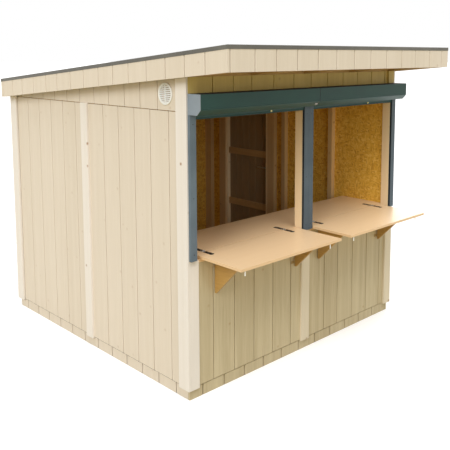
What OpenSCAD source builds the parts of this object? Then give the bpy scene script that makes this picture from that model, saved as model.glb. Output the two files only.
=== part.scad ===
// Wooden sales kiosk with a mono-pitch roof, two serving openings and fold-out counter flaps.
// X runs along the front from its left corner, Y from the front to the back, Z up from the ground.
// hut() then moves the origin to the middle of the whole outline, at ground level.

/* [Plan] */
// Width of the hut over its corner trims
wall_w = 2400; // [2200:10:2700]
// Depth of the hut over its corner trims
wall_d = 2530; // [2300:10:2800]
// Height from the ground to the bottom of the wall boards
base_h = 80; // [60:1:110]
// Height from the ground to the top of the wall panels
panel_top = 1980; // [1940:1:2150]

/* [Walls] */
// Thickness of the tongue-and-groove wall boards
board_t = 16; // [12:1:22]
// Thickness of the sheathing board behind them
sheet_t = 11; // [9:1:15]
// Depth of the wall studs
stud_d = 48; // [42:1:60]
// Width of the wall studs
stud_w = 48; // [42:1:60]
// Depth of the posts beside the serving openings, behind the trims' face
post_depth = 78; // [70:1:95]
// Thickness of the corner trims and cover battens
trim_t = 16; // [12:1:22]
// Width of the corner trims and cover battens
trim_w = 95; // [70:1:110]
// Distance of the plinth boards behind the trims
plinth_inset = 22; // [18:1:30]
// Thickness of the plinth boards
plinth_t = 16; // [12:1:20]

/* [Floor] */
// Thickness of the floor deck
deck_t = 18; // [15:1:24]
// Width of the floor bearers
bearer_w = 48; // [42:1:70]

/* [Roof] */
// Fall of the roof for each metre of depth
roof_fall = 90.6; // [60:0.2:110]
// Reach of the roof in front of the corner trims
front_overhang = 474; // [350:1:550]
// Reach of the roof beside the corner trims
side_overhang = 73; // [70:1:120]
// Reach of the roof behind the corner trims
back_overhang = 19; // [19:1:80]
// Depth of the rafters
rafter_h = 137; // [110:1:160]
// Width of the rafters
rafter_w = 45; // [38:1:50]
// Thickness of the roof boarding
roof_board_t = 18; // [15:1:24]
// Thickness of the roofing felt
felt_t = 4; // [3:1:6]
// Height of the fascia boards with the edging on them
fascia_h = 163; // [140:1:180]
// Thickness of the fascia boards
fascia_t = 16; // [12:1:22]
// Height of the metal roof edging
edging_h = 26; // [20:1:40]
// Thickness of the metal roof edging
edging_t = 2; // [1:0.5:3]

/* [Serving openings] */
// Height of the counter top above the ground
counter_top = 1000; // [900:1:1100]
// Thickness of the counter boards
counter_t = 18; // [16:1:25]
// Reach of the flaps in front of the corner trims
flap_reach = 397; // [300:1:440]
// Width of one flap
flap_w = 1030; // [800:1:1030]
// Depth from the corner trims to the back edge of the inner counter
inner_reach = 530; // [450:1:590]
// Underside of the roller shutter boxes
box_bottom = 1963; // [1900:1:1963]
// Height of a roller shutter box
box_h = 137; // [110:1:150]
// Depth of a roller shutter box in front of the wall boards
box_d = 145; // [120:1:165]
// Length of the sloping lower corner of a box, along each side
box_chamfer = 36; // [20:1:50]
// Width of a guide rail
rail_w = 53; // [45:1:60]
// Depth of a guide rail
rail_d = 22; // [20:1:28]
// Distance of the outer guide rails from the hut's sides
rail_inset = 12; // [8:1:30]

/* [Brackets] */
// Length of a bracket's two straight sides
bracket_leg = 268; // [200:1:300]
// Thickness of a bracket
bracket_t = 18; // [15:1:25]
// Distance from the left flap's left end to its first bracket
bracket_start_left = 135; // [60:1:150]
// Distance from the right flap's left end to its first bracket
bracket_start_right = 100; // [60:1:150]
// How much less the spacing of a flap's two brackets is than the flap's width
bracket_margin = 197; // [180:1:260]

/* [Hinges] */
// Length of one leaf of a flap hinge
leaf_l = 100; // [60:1:120]
// Width of a flap hinge
leaf_w = 30; // [24:1:40]
// Thickness of a hinge leaf
leaf_t = 2.5; // [2:0.5:3]
// Distance from the left flap's left end to the middle of its first hinge
hinge_start_left = 90; // [60:1:160]
// Distance from the right flap's left end to the middle of its first hinge
hinge_start_right = 118; // [60:1:160]
// How much less the spacing of a flap's two hinges is than the flap's width
hinge_margin = 205; // [180:1:260]
// Radius of a hinge knuckle
knuckle_r = 3.5; // [3:0.5:3.5]
// Gap left between moving wooden pieces
run_gap = 5; // [5:0.5:8]

/* [Door] */
// Distance from the back corner to the clear doorway
door_back = 400; // [300:1:500]
// Distance from the clear doorway forward to the right wall's cover batten
door_to_batten = 292.5; // [180:0.5:500]
// Clear width of the doorway
door_w = 620; // [560:1:640]
// Height of the doorway above the ground
door_top = 1900; // [1800:1:1910]
// Thickness of the door lining
lining_t = 20; // [18:1:25]
// Thickness of the door's ledges
ledge_t = 22; // [18:1:25]
// Height of the door's ledges
ledge_h = 70; // [50:1:90]

/* [Vent] */
// Diameter of the vent's flange
vent_d = 150; // [120:1:160]
// Diameter of the hole behind the vent
vent_bore = 130; // [100:1:140]
// Distance of the vent's middle behind the front corner
vent_y = 232; // [190:1:400]

/* [Hidden] */
$fn = 48;

slit = 0.5;                                   // gap between separate pieces of one node
seam = 0.1;                                   // gap between sloping pieces that bear on each other
slope = roof_fall / 1000;
board_drop = felt_t + seam;                   // top of the roof boarding under the roof surface
rafter_drop = board_drop + roof_board_t + seam;
board_in = trim_t + board_t;                  // back of the wall boards
sheet_in = board_in + sheet_t;                // back of the sheathing
stud_in = sheet_in + stud_d;                  // inner face of the side and back walls
roof_ref = panel_top + rafter_h + roof_board_t + felt_t;
roof_x0 = -side_overhang;
roof_x1 = wall_w + side_overhang;
roof_y0 = -front_overhang;
roof_y1 = wall_d + back_overhang;
mid_y = (roof_y0 + roof_y1) / 2;
mid_x = wall_w / 2;
batten_y = (wall_d - trim_w) / 2;             // front edge of the left wall's middle batten
post_half = trim_w / 2 + 0.5;                 // half the width of the middle post
rail_x = [rail_inset, mid_x - rail_w, mid_x, wall_w - rail_inset - rail_w];
opening_x = [[rail_x[0] + rail_w, rail_x[1]], [rail_x[2] + rail_w, rail_x[3]]];
flap_x = [opening_x[0][1] - run_gap - 1 - flap_w, opening_x[1][0] + run_gap + 1];
flap_under = counter_top - counter_t;
sill_top = flap_under - run_gap;
hinge_y = post_depth - 1.5;                     // axis of the flap hinges
hinge_z = counter_top + knuckle_r;
flap_back = hinge_y - run_gap / 2;
inner_front = hinge_y + run_gap / 2;
bracket_pitch = flap_w - bracket_margin;
bracket_first = [flap_x[0] + bracket_start_left, flap_x[1] + bracket_start_right];
bracket_x = [for (x = bracket_first, n = [0, 1]) x + n * bracket_pitch];
bracket_side = [1, -1, 1, -1];                // the way each bracket folds along X
bracket_off = knuckle_r + 1;                  // axis beside the bracket's folding side
bracket_y = trim_t - knuckle_r - 4.5;         // axis of the bracket hinges
bracket_back = bracket_y + 2;                 // edge of a bracket next to the wall
hinge_pitch = flap_w - hinge_margin;
hinge_first = [flap_x[0] + hinge_start_left, flap_x[1] + hinge_start_right];
post_x = [[trim_t + slit, opening_x[0][0]], [mid_x - post_half, mid_x + post_half],
  [opening_x[1][1], wall_w - trim_t - slit]];
bay_x = [[post_x[0][1] + slit, post_x[1][0] - slit], [post_x[1][1] + slit, post_x[2][0] - slit]];
sill_t = 22;
post_top = box_bottom - 3;
door_y1 = wall_d - door_back;
door_y = door_y1 - door_w;
right_batten_y = door_y - door_to_batten;     // front edge of the right wall's middle batten
frame_y0 = door_y - lining_t;
frame_y1 = door_y1 + lining_t;
frame_top = door_top + lining_t;
leaf_x1 = wall_w - trim_t;                    // outer face of the door leaf
door_axis = [wall_w, door_y1 + 1];
leaf_y0 = door_y + 8;
leaf_y1 = door_y1 - run_gap;
leaf_z0 = base_h + 25;
leaf_z1 = door_top - run_gap;
ledge_z = [leaf_z0 + 15, 677, 1252, leaf_z1 - 15 - ledge_h];
strap_z = [300, 1650];
box_y0 = trim_t - box_d;

function roof_z(y) = roof_ref + slope * (wall_d - trim_t - y);

module hut() translate([-mid_x, -mid_y, 0]) children();
module block(a, b) translate(a) cube(b - a);
// Profile in Y and Z, drawn out along X from x0 to x1
module along_x(x0, x1, outline)
  translate([x0, 0, 0]) rotate([90, 0, 90]) linear_extrude(x1 - x0) polygon(outline);
// Plate that follows the roof, its top face drop below the top of the felt
module pitched(x0, x1, y0, y1, drop, t)
  along_x(x0, x1, [[y0, roof_z(y0) - drop - t], [y1, roof_z(y1) - drop - t],
    [y1, roof_z(y1) - drop], [y0, roof_z(y0) - drop]]);
// Upright piece with a level foot, its head cut to the pitch
module to_roof(x0, x1, y0, y1, z0, drop)
  along_x(x0, x1, [[y0, z0], [y1, z0], [y1, roof_z(y1) - drop], [y0, roof_z(y0) - drop]]);

under_boards = rafter_drop + slit;
under_rafters = rafter_drop + rafter_h + slit;
vent_z = roof_z(vent_y) - fascia_h - vent_d / 2 - 17;

// ---- floor and plinth ----
bearer_x = [for (i = [0:4]) plinth_inset + plinth_t
  + i * (wall_w - 2 * (plinth_inset + plinth_t) - bearer_w) / 4];
module floor_bearers() color("tan") hut()
  for (x = bearer_x)
    block([x, plinth_inset + plinth_t, 0],
      [x + bearer_w, wall_d - plinth_inset - plinth_t, base_h - deck_t]);
module floor_deck() color("burlywood") hut()
  block([plinth_inset + plinth_t, plinth_inset + plinth_t, base_h - deck_t],
    [wall_w - plinth_inset - plinth_t, wall_d - plinth_inset - plinth_t, base_h]);
module plinth() color("wheat") hut() {
  a = plinth_inset;
  b = plinth_inset + plinth_t;
  for (y = [a, wall_d - b]) block([a, y, 0], [wall_w - a, y + plinth_t, base_h - 2]);
  for (x = [a, wall_w - b]) block([x, b + slit, 0], [x + plinth_t, wall_d - b - slit, base_h - 2]);
}

// ---- wall boards ----
module front_wall() color("antiquewhite") hut()
  block([board_in, trim_t, base_h], [wall_w - board_in, board_in, sill_top - sill_t]);
module front_wall_head() color("peru") hut()
  to_roof(board_in, wall_w - board_in, trim_t, board_in, post_top, under_rafters);
module left_wall() color("antiquewhite") hut()
  block([trim_t, trim_t, base_h], [board_in, wall_d - trim_t, panel_top]);
module gable(x) difference() {
  to_roof(x, x + board_t, trim_t, wall_d - trim_t, panel_top, under_boards);
  if (x < mid_x)
    translate([x - 1, vent_y, vent_z]) rotate([0, 90, 0]) cylinder(d = vent_bore, h = board_t + 2);
}
module left_gable() color("antiquewhite") hut() gable(trim_t);
module right_gable() color("antiquewhite") hut() gable(wall_w - board_in);
module back_wall() color("antiquewhite") hut()
  block([board_in, wall_d - board_in, base_h],
    [wall_w - board_in, wall_d - trim_t, panel_top - 2 * seam - slit]);
module right_boards(y0, y1, z0) block([wall_w - board_in, y0, z0], [leaf_x1, y1, panel_top]);
module right_wall_front() color("antiquewhite") hut() right_boards(trim_t, frame_y0, base_h);
module right_wall_rear() color("antiquewhite") hut() right_boards(frame_y1, wall_d - trim_t, base_h);
module right_wall_over_door() color("antiquewhite") hut() right_boards(frame_y0, frame_y1, frame_top);

// ---- sheathing, studs and posts ----
module wall_sheathing() color("darkgoldenrod") hut() {
  back0 = wall_d - sheet_in;
  x1 = wall_w - sheet_in;
  block([board_in, post_depth + 1, base_h], [sheet_in, back0 - slit, panel_top]);
  block([board_in, back0, base_h], [wall_w - board_in, back0 + sheet_t, panel_top]);
  block([x1, post_depth + 1, base_h], [x1 + sheet_t, frame_y0, panel_top]);
  block([x1, frame_y1, base_h], [x1 + sheet_t, back0 - slit, panel_top]);
  block([x1, frame_y0 + slit, frame_top], [x1 + sheet_t, frame_y1 - slit, panel_top]);
  for (b = bay_x) block([b[0], board_in, base_h], [b[1], sheet_in, sill_top - sill_t]);
}
stud_left = [630, batten_y + 24, 1850, wall_d - stud_in - stud_w - 1];
stud_right = [630, right_batten_y + 24, frame_y0 - trim_w, frame_y1 + slit, wall_d - stud_in - stud_w - 1];
stud_right_w = [stud_w, stud_w, trim_w - slit, trim_w, stud_w];
stud_back = [for (i = [0:4]) sheet_in + i * (wall_w - 2 * sheet_in - stud_w) / 4];
module wall_studs() color("tan") hut() {
  foot = base_h + stud_w;
  head = panel_top - stud_w;
  for (y = stud_left) block([sheet_in, y, foot + slit], [stud_in, y + stud_w, head - slit]);
  for (i = [0:4]) block([wall_w - stud_in, stud_right[i], foot + slit],
    [wall_w - sheet_in, stud_right[i] + stud_right_w[i], head - slit]);
  for (x = stud_back) block([x, wall_d - stud_in, foot + slit], [x + stud_w, wall_d - sheet_in, head - slit]);
  side_end = wall_d - stud_in - slit;
  for (z = [base_h, head]) {
    block([sheet_in, post_depth + 1, z], [stud_in, side_end, z + stud_w]);
    block([sheet_in, wall_d - stud_in, z], [wall_w - sheet_in, wall_d - sheet_in, z + stud_w]);
  }
  block([wall_w - stud_in, post_depth + 1, base_h], [wall_w - sheet_in, frame_y0, foot]);
  block([wall_w - stud_in, frame_y1, base_h], [wall_w - sheet_in, side_end, foot]);
  block([wall_w - stud_in, post_depth + 1, head], [wall_w - sheet_in, side_end, panel_top]);
  sill_under = sill_top - sill_t;
  for (b = bay_x) {
    block([b[0], sheet_in, base_h], [b[1], post_depth - 4, base_h + stud_w]);
    block([b[0], sheet_in, sill_under - stud_w], [b[1], post_depth - 4, sill_under]);
    middle = (b[0] + b[1] - stud_w) / 2;
    block([middle, sheet_in, foot + slit], [middle + stud_w, post_depth - 4, sill_under - stud_w - slit]);
  }
}
// Posts beside the openings: they reach the front face only between the sill and the beam
module serving_posts() color("burlywood") hut()
  for (x = post_x) {
    x0 = max(x[0], board_in + slit);
    x1 = min(x[1], wall_w - board_in - slit);
    block([x0, board_in, base_h], [x1, post_depth, post_top]);
    block([x0, trim_t, sill_top - sill_t], [x1, board_in, post_top]);
    block([x[0], 0, sill_top], [x[1], trim_t, post_top]);
  }
module front_beam() color("tan") hut()
  to_roof(board_in + slit, wall_w - board_in - slit, board_in, post_depth, post_top + slit, under_rafters);

// ---- trims ----
module corner_side(x, y0, y1, z0) to_roof(x, x + trim_t, y0, y1, z0, under_boards);
module corner_trim_front_left() color("linen") hut() {
  corner_side(0, 0, trim_w + trim_t, base_h - 6);
  block([trim_t, 0, base_h - 6], [trim_w, trim_t, sill_top]);
  to_roof(trim_t, trim_w, 0, trim_t, box_bottom + box_h + slit, under_rafters);
}
module corner_trim_front_right() color("linen") hut() {
  corner_side(wall_w - trim_t, 0, trim_w + trim_t, base_h - 6);
  block([wall_w - trim_w, 0, base_h - 6], [wall_w - trim_t, trim_t, sill_top]);
  to_roof(wall_w - trim_w, wall_w - trim_t, 0, trim_t, box_bottom + box_h + slit, under_rafters);
}
module corner_back(x, face_x) {
  corner_side(x, wall_d - trim_w - trim_t, wall_d, base_h - 6);
  to_roof(face_x, face_x + trim_w - trim_t, wall_d - trim_t, wall_d, base_h - 6, under_rafters);
}
module corner_trim_back_left() color("linen") hut() corner_back(0, trim_t);
module corner_trim_back_right() color("linen") hut() corner_back(wall_w - trim_t, wall_w - trim_w);
module cover_battens() color("linen") hut() {
  for (b = [[0, batten_y], [wall_w - trim_t, right_batten_y]])
    block([b[0], b[1], base_h - 4], [b[0] + trim_t, b[1] + trim_w, panel_top]);
  block([mid_x - trim_w / 2, wall_d - trim_t, base_h - 4],
    [mid_x + trim_w / 2, wall_d, panel_top - 5]);
  block([mid_x - trim_w / 2, 0, base_h - 4], [mid_x + trim_w / 2, trim_t, sill_top]);
}

// ---- roof ----
inner_rafter_x = [for (i = [0:4]) board_in + 1 + i * (wall_w - 2 * board_in - 2 - rafter_w) / 4];
fly_x = [roof_x0 + edging_t + fascia_t, roof_x1 - edging_t - fascia_t - rafter_w];
rafter_y0 = roof_y0 + edging_t + fascia_t;
rafter_y1 = roof_y1 - edging_t - fascia_t;
module rafters() color("tan") hut() {
  for (x = concat(inner_rafter_x, fly_x))
    pitched(x, x + rafter_w, rafter_y0, rafter_y1, rafter_drop, rafter_h);
  for (i = [0:3], y = [trim_t, wall_d - board_in - rafter_w])
    pitched(inner_rafter_x[i] + rafter_w + slit, inner_rafter_x[i + 1] - slit, y, y + rafter_w,
      rafter_drop, rafter_h);
}
module roof_boarding() color("tan") hut()
  pitched(roof_x0 + edging_t + fascia_t, roof_x1 - edging_t - fascia_t, rafter_y0, rafter_y1,
    board_drop, roof_board_t);
module roofing_felt() color("dimgray") hut()
  pitched(roof_x0 + edging_t, roof_x1 - edging_t, roof_y0 + edging_t, roof_y1 - edging_t, 0, felt_t);
module roof_edging() color("dimgray") hut() {
  side0 = roof_y0 + edging_t + slit;
  side1 = roof_y1 - edging_t - slit;
  for (y = [roof_y0, roof_y1 - edging_t]) pitched(roof_x0, roof_x1, y, y + edging_t, 0, edging_h);
  for (x = [roof_x0, roof_x1 - edging_t]) pitched(x, x + edging_t, side0, side1, 0, edging_h);
}
module fascia_across(y) pitched(roof_x0 + edging_t, roof_x1 - edging_t, y, y + fascia_t,
  board_drop, fascia_h - board_drop);
module fascia_side(x) pitched(x, x + fascia_t, rafter_y0 + slit, rafter_y1 - slit,
  board_drop, fascia_h - board_drop);
module fascia_front() color("antiquewhite") hut() fascia_across(roof_y0 + edging_t);
module fascia_back() color("antiquewhite") hut() fascia_across(roof_y1 - edging_t - fascia_t);
module fascia_left() color("antiquewhite") hut() fascia_side(roof_x0 + edging_t);
module fascia_right() color("antiquewhite") hut() fascia_side(roof_x1 - edging_t - fascia_t);

// ---- roller shutters ----
box_x = [[rail_inset, mid_x - slit / 2], [mid_x + slit / 2, wall_w - rail_inset]];
cap_t = 3;
module box_profile(x0, x1) along_x(x0, x1, [[trim_t, box_bottom], [trim_t, box_bottom + box_h],
  [box_y0, box_bottom + box_h], [box_y0, box_bottom + box_chamfer], [box_y0 + box_chamfer, box_bottom]]);
module shutter_box(i) difference() {
  box_profile(box_x[i][0] + cap_t, box_x[i][1] - cap_t);
  // room for the side faces of the front corner trims
  for (x = [0, wall_w - trim_t])
    block([x - slit, -slit, box_bottom - 1], [x + trim_t + slit, trim_t + 1, box_bottom + box_h + 1]);
}
module shutter_box_left() color("darkslategray") hut() shutter_box(0);
module shutter_box_right() color("darkslategray") hut() shutter_box(1);
module end_cap(x, back) intersection() {
  box_profile(x, x + cap_t);
  block([x, box_y0, box_bottom], [x + cap_t, back, box_bottom + box_h]);
}
module shutter_end_caps() color("slategray") hut() {
  end_cap(box_x[0][0], -slit);
  end_cap(box_x[0][1] - cap_t, trim_t);
  end_cap(box_x[1][0], trim_t);
  end_cap(box_x[1][1] - cap_t, -slit);
}
// Each rail is a channel whose slot faces its own opening
slot_w = 12;
slot_depth = 38;
module guide_rails() color("slategray") hut()
  for (i = [0:3]) {
    x = rail_x[i] + (i == 1 ? -slit / 2 : i == 2 ? slit / 2 : 0);
    inward = i % 2 == 0 ? 1 : -1;
    slot_x = inward > 0 ? x + rail_w - slot_depth : x - 1;
    difference() {
      block([x, -rail_d, flap_under + 3], [x + rail_w, -slit, box_bottom - slit]);
      block([slot_x, -rail_d / 2 - slot_w / 2, flap_under], [slot_x + slot_depth + 1,
        -rail_d / 2 + slot_w / 2, box_bottom]);
    }
  }
slat_t = 9;
slat_show = 34;
module shutter_end_slats() color("slategray") hut()
  for (o = opening_x)
    block([o[0] - 20, -rail_d / 2 - slat_t / 2, box_bottom - slat_show],
      [o[1] + 20, -rail_d / 2 + slat_t / 2, box_bottom - slit]);

// ---- counters ----
module serving_sill() color("burlywood") hut()
  for (b = bay_x) block([b[0], trim_t, sill_top - sill_t], [b[1], post_depth - 4, sill_top]);
module inner_counter() color("tan") hut()
  block([sheet_in + slit, inner_front, flap_under], [wall_w - sheet_in - slit, inner_reach, counter_top]);
bearer_h = 48;
module counter_bearers() color("tan") hut() {
  low = flap_under - bearer_h;
  cross_x = [sheet_in, mid_x - stud_w / 2, wall_w - sheet_in - stud_w];
  for (x = cross_x) block([x, post_depth + slit, low], [x + stud_w, inner_reach, flap_under]);
  for (i = [0, 1], y = [post_depth + slit, inner_reach - stud_w])
    block([cross_x[i] + stud_w + slit, y, low], [cross_x[i + 1] - slit, y + stud_w, flap_under]);
}
module flap(i) block([flap_x[i], -flap_reach, flap_under], [flap_x[i] + flap_w, flap_back, counter_top]);
module flap_left() color("burlywood") hut() flap(0);
module flap_right() color("burlywood") hut() flap(1);

// ---- flap hinges: the outer knuckles and one leaf on the counter, the middle knuckle on the flap ----
third = leaf_w / 3;
module knuckle(x, l) translate([x, hinge_y, hinge_z]) rotate([0, 90, 0]) cylinder(r = knuckle_r, h = l);
module fixed_leaf(x) {
  block([x, inner_front + 2, counter_top], [x + leaf_w, hinge_y + leaf_l, counter_top + leaf_t]);
  for (k = [0, 2]) {
    knuckle(x + k * third, third - 0.3);
    block([x + k * third, hinge_y, counter_top], [x + (k + 1) * third - 0.3, inner_front + 3,
      counter_top + leaf_t]);
  }
}
module moving_leaf(x) {
  block([x, hinge_y - leaf_l, counter_top], [x + leaf_w, flap_back - 2, counter_top + leaf_t]);
  knuckle(x + third + 0.3, third - 0.9);
  block([x + third + 0.3, flap_back - 3, counter_top], [x + 2 * third - 0.6, hinge_y,
    counter_top + leaf_t]);
}
module counter_hinges() color("black") hut()
  for (x = hinge_first, n = [0, 1]) fixed_leaf(x + n * hinge_pitch - leaf_w / 2);
module flap_hinges(i)
  for (n = [0, 1]) moving_leaf(hinge_first[i] + n * hinge_pitch - leaf_w / 2);
module flap_left_hinges() color("black") hut() flap_hinges(0);
module flap_right_hinges() color("black") hut() flap_hinges(1);

// ---- brackets ----
bracket_top = sill_top;
tip = 14;                                     // blunt end of a bracket's two points
hinge_rows = [bracket_top - bracket_leg + 24, bracket_top - 84];
barrel_l = 22;
function bracket_axis(i) = bracket_side[i] > 0 ? bracket_x[i] + bracket_t + bracket_off
  : bracket_x[i] - bracket_off;
module barrel(i, z) translate([bracket_axis(i), bracket_y, z]) cylinder(r = knuckle_r, h = barrel_l);
module bracket(i) {
  y = bracket_back;
  z = bracket_top;
  along_x(bracket_x[i], bracket_x[i] + bracket_t, [[y, z], [y - bracket_leg, z],
    [y - bracket_leg, z - tip], [y - tip, z - bracket_leg], [y, z - bracket_leg]]);
  x = bracket_axis(i) - (bracket_side[i] > 0 ? bracket_off + 0.5 : -0.5);
  for (row = hinge_rows) {
    barrel(i, row + barrel_l + slit);
    block([min(x, bracket_axis(i)), bracket_y - knuckle_r, row + barrel_l + slit],
      [max(x + bracket_off, bracket_axis(i)), bracket_y - 1, row + 2 * barrel_l + slit]);
  }
}
module bracket_1() color("peru") hut() bracket(0);
module bracket_2() color("peru") hut() bracket(1);
module bracket_3() color("peru") hut() bracket(2);
module bracket_4() color("peru") hut() bracket(3);
module bracket_hinges() color("black") hut()
  for (i = [0:3], row = hinge_rows) {
    x = bracket_axis(i);
    out = bracket_side[i] > 0 ? 0 : -1;
    barrel(i, row);
    block([x + out * leaf_w, trim_t - leaf_t, row], [x + (out + 1) * leaf_w, trim_t, row + barrel_l]);
    block([x + out * 3, bracket_y, row], [x + (out + 1) * 3, trim_t, row + barrel_l]);
  }

// ---- vent ----
vent_t = 8;
vent_hole = vent_bore - 4;
module vent_grille() color("white") hut()
  translate([trim_t - vent_t, vent_y, vent_z]) rotate([0, 90, 0]) {
    difference() {
      cylinder(d = vent_d, h = vent_t);
      translate([0, 0, -1]) cylinder(d = vent_hole, h = vent_t + 2);
    }
    intersection() {
      cylinder(d = vent_hole + 2, h = vent_t);
      union() {
        translate([-vent_d / 2, -3, 0]) cube([vent_d, 6, vent_t]);
        for (n = [-4:4]) translate([n * 13.5 - 2.5, -vent_d / 2, 2]) cube([5, vent_d, vent_t - 3]);
      }
    }
  }

// ---- door ----
module door_lining() color("burlywood") hut() {
  x0 = wall_w - stud_in;
  stop_x = leaf_x1 - board_t - ledge_t - 6;
  for (y = [frame_y0 + slit, door_y1]) block([x0, y, base_h], [leaf_x1, y + lining_t - slit, door_top - slit]);
  block([x0, frame_y0 + slit, door_top], [leaf_x1, frame_y1 - slit, frame_top - slit]);
  block([x0, door_y + slit, base_h], [leaf_x1, door_y1 - slit, base_h + lining_t]);
  block([stop_x - 20, door_y, base_h + lining_t + slit], [stop_x, door_y + 12, door_top - slit]);
  block([stop_x - 20, door_y1 - 12, base_h + lining_t + slit], [stop_x, door_y1, door_top - slit]);
}
casing_w = 70;
casing_show = 10;                             // width of the lining's edge that stays in view
module door_trim() color("linen") hut() {
  a = door_y - casing_show;
  b = door_y1 + casing_show;
  top = door_top + casing_show;
  block([leaf_x1, a - casing_w, base_h - 4], [wall_w, a, top]);
  block([leaf_x1, b, base_h - 4], [wall_w, b + casing_w, top]);
  block([leaf_x1, a - casing_w, top + slit], [wall_w, b + casing_w, panel_top - 1]);
}
module door_leaf() color("antiquewhite") hut() {
  block([leaf_x1 - board_t, leaf_y0, leaf_z0], [leaf_x1, leaf_y1, leaf_z1]);
  for (z = ledge_z)
    block([leaf_x1 - board_t - ledge_t, leaf_y0, z], [leaf_x1 - board_t, leaf_y1, z + ledge_h]);
}
strap_h = 36;
strap_l = 380;
strap_t = 3;
pin_r = 6;
module door_straps() color("dimgray") hut()
  for (z = strap_z) {
    block([leaf_x1, leaf_y1 - strap_l, z], [leaf_x1 + strap_t, leaf_y1, z + strap_h]);
    block([leaf_x1, leaf_y1 - 8, z], [door_axis[0], leaf_y1, z + strap_h]);
    block([door_axis[0] - pin_r, leaf_y1 - 2, z], [door_axis[0], door_axis[1], z + strap_h]);
    translate([door_axis[0], door_axis[1], z]) cylinder(r = pin_r, h = strap_h);
  }
module door_pintles() color("dimgray") hut()
  for (z = strap_z) {
    low = z - 40;
    translate([door_axis[0], door_axis[1], low]) cylinder(r = pin_r, h = 40 - slit);
    block([door_axis[0], door_axis[1], low], [door_axis[0] + strap_t, door_y1 + casing_show + 1, z - slit]);
    block([wall_w, door_y1 + casing_show, low], [wall_w + strap_t, door_y1 + casing_show + 45, z - slit]);
  }
handle_y = leaf_y0 + 32;
handle_z = 1150;
module handle_side(face, out) {
  plate = 4;
  reach = 42;
  block([min(face, face + out * plate), handle_y - 18, handle_z - 110],
    [max(face, face + out * plate), handle_y + 18, handle_z + 60]);
  translate([face, handle_y, handle_z]) rotate([0, out * 90, 0]) cylinder(r = 8, h = reach);
  translate([face + out * (reach - 8), handle_y, handle_z]) rotate([-90, 0, 0]) cylinder(r = 8, h = 115);
}
module door_handle() color("silver") hut() {
  handle_side(leaf_x1, 1);
  handle_side(leaf_x1 - board_t, -1);
}

floor_bearers();
floor_deck();
plinth();
front_wall();
front_wall_head();
left_wall();
left_gable();
back_wall();
right_wall_front();
right_wall_rear();
right_wall_over_door();
right_gable();
wall_sheathing();
wall_studs();
serving_posts();
front_beam();
corner_trim_front_left();
corner_trim_front_right();
corner_trim_back_left();
corner_trim_back_right();
cover_battens();
rafters();
roof_boarding();
roofing_felt();
roof_edging();
fascia_front();
fascia_back();
fascia_left();
fascia_right();
shutter_box_left();
shutter_box_right();
shutter_end_caps();
guide_rails();
shutter_end_slats();
serving_sill();
inner_counter();
counter_bearers();
counter_hinges();
flap_left();
flap_left_hinges();
flap_right();
flap_right_hinges();
bracket_1();
bracket_2();
bracket_3();
bracket_4();
bracket_hinges();
vent_grille();
door_lining();
door_trim();
door_leaf();
door_straps();
door_pintles();
door_handle();
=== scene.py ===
"""A wooden market hut with a lean-to roof, roller shutter boxes and fold-over counters.

Places are in millimetres from the hut's front left corner at ground level: x along the
front, y from the front to the back, z up. at() turns them into the frame's metres.
"""

import math

import bmesh
import bpy
from mathutils import Matrix, Vector


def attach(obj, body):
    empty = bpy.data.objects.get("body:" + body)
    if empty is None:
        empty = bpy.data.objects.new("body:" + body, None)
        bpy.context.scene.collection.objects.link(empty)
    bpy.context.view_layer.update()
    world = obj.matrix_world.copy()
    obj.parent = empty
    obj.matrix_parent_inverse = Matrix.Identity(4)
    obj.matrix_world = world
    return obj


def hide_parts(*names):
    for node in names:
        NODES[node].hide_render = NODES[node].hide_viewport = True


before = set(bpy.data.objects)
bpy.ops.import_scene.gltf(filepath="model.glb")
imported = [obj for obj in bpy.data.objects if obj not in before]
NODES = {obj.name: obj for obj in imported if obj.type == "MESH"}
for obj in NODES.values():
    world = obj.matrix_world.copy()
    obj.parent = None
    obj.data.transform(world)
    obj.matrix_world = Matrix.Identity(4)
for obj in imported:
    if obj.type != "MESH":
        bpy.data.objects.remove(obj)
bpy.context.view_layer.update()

# ---------------------------------------------------------------- the hut's own sizes, in mm
WIDTH, DEPTH = 2400, 2530          # over the corner trims
MIDDLE_X, MIDDLE_Y = WIDTH / 2, 1037.5
BOARD = 16                         # thickness of trims and of wall boards
OUT_LEFT, OUT_RIGHT = BOARD, WIDTH - BOARD            # outer faces of the wall boards
OUT_FRONT, OUT_BACK = BOARD, DEPTH - BOARD
IN_LEFT, IN_RIGHT = OUT_LEFT + BOARD, OUT_RIGHT - BOARD    # inner faces of the wall boards
IN_FRONT, IN_BACK = OUT_FRONT + BOARD, OUT_BACK - BOARD
TRIM_WIDE = 95
TRIM_GAP = 0.2                     # between the two boards of a corner
BASE = 80                          # foot of the walls
REVEAL = 6                         # how far the trims reach below that
FOOT = BASE - REVEAL
PANEL_TOP = 1980
SLOPE = 0.0906                     # fall of the roof for each millimetre of depth
ROOF_AT_BACK = 2139                # roof surface above the back wall's boards
EAVES_LEFT, EAVES_RIGHT = -71, 2471                   # outer faces of the fascia boards
EAVES_FRONT, EAVES_BACK = -472, 2547
FASCIA_DEPTH = 163                 # roof surface to the fascia's lower edge
COUNTER = 1000                     # top of the counters
BOX_LOW, BOX_HIGH, BOX_FRONT = 1963, 2100, -129
POST_TOP = 1960
SILL = 977                         # underside of the serving sill
ALONG_X, ALONG_Y, ALONG_Z = 0, 1, 2


def at(x, y, z):
    return Vector(((x - MIDDLE_X) / 1000, (y - MIDDLE_Y) / 1000, z / 1000))


def roof_height(y):
    return ROOF_AT_BACK + SLOPE * (OUT_BACK - y)


# ---------------------------------------------------------------- colours and materials
def colour(code):
    """sRGB hex to the linear colour that a socket takes."""
    parts = [int(code[i : i + 2], 16) / 255 for i in (1, 3, 5)]
    return tuple(p / 12.92 if p <= 0.04045 else ((p + 0.055) / 1.055) ** 2.4 for p in parts) + (1.0,)


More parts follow.
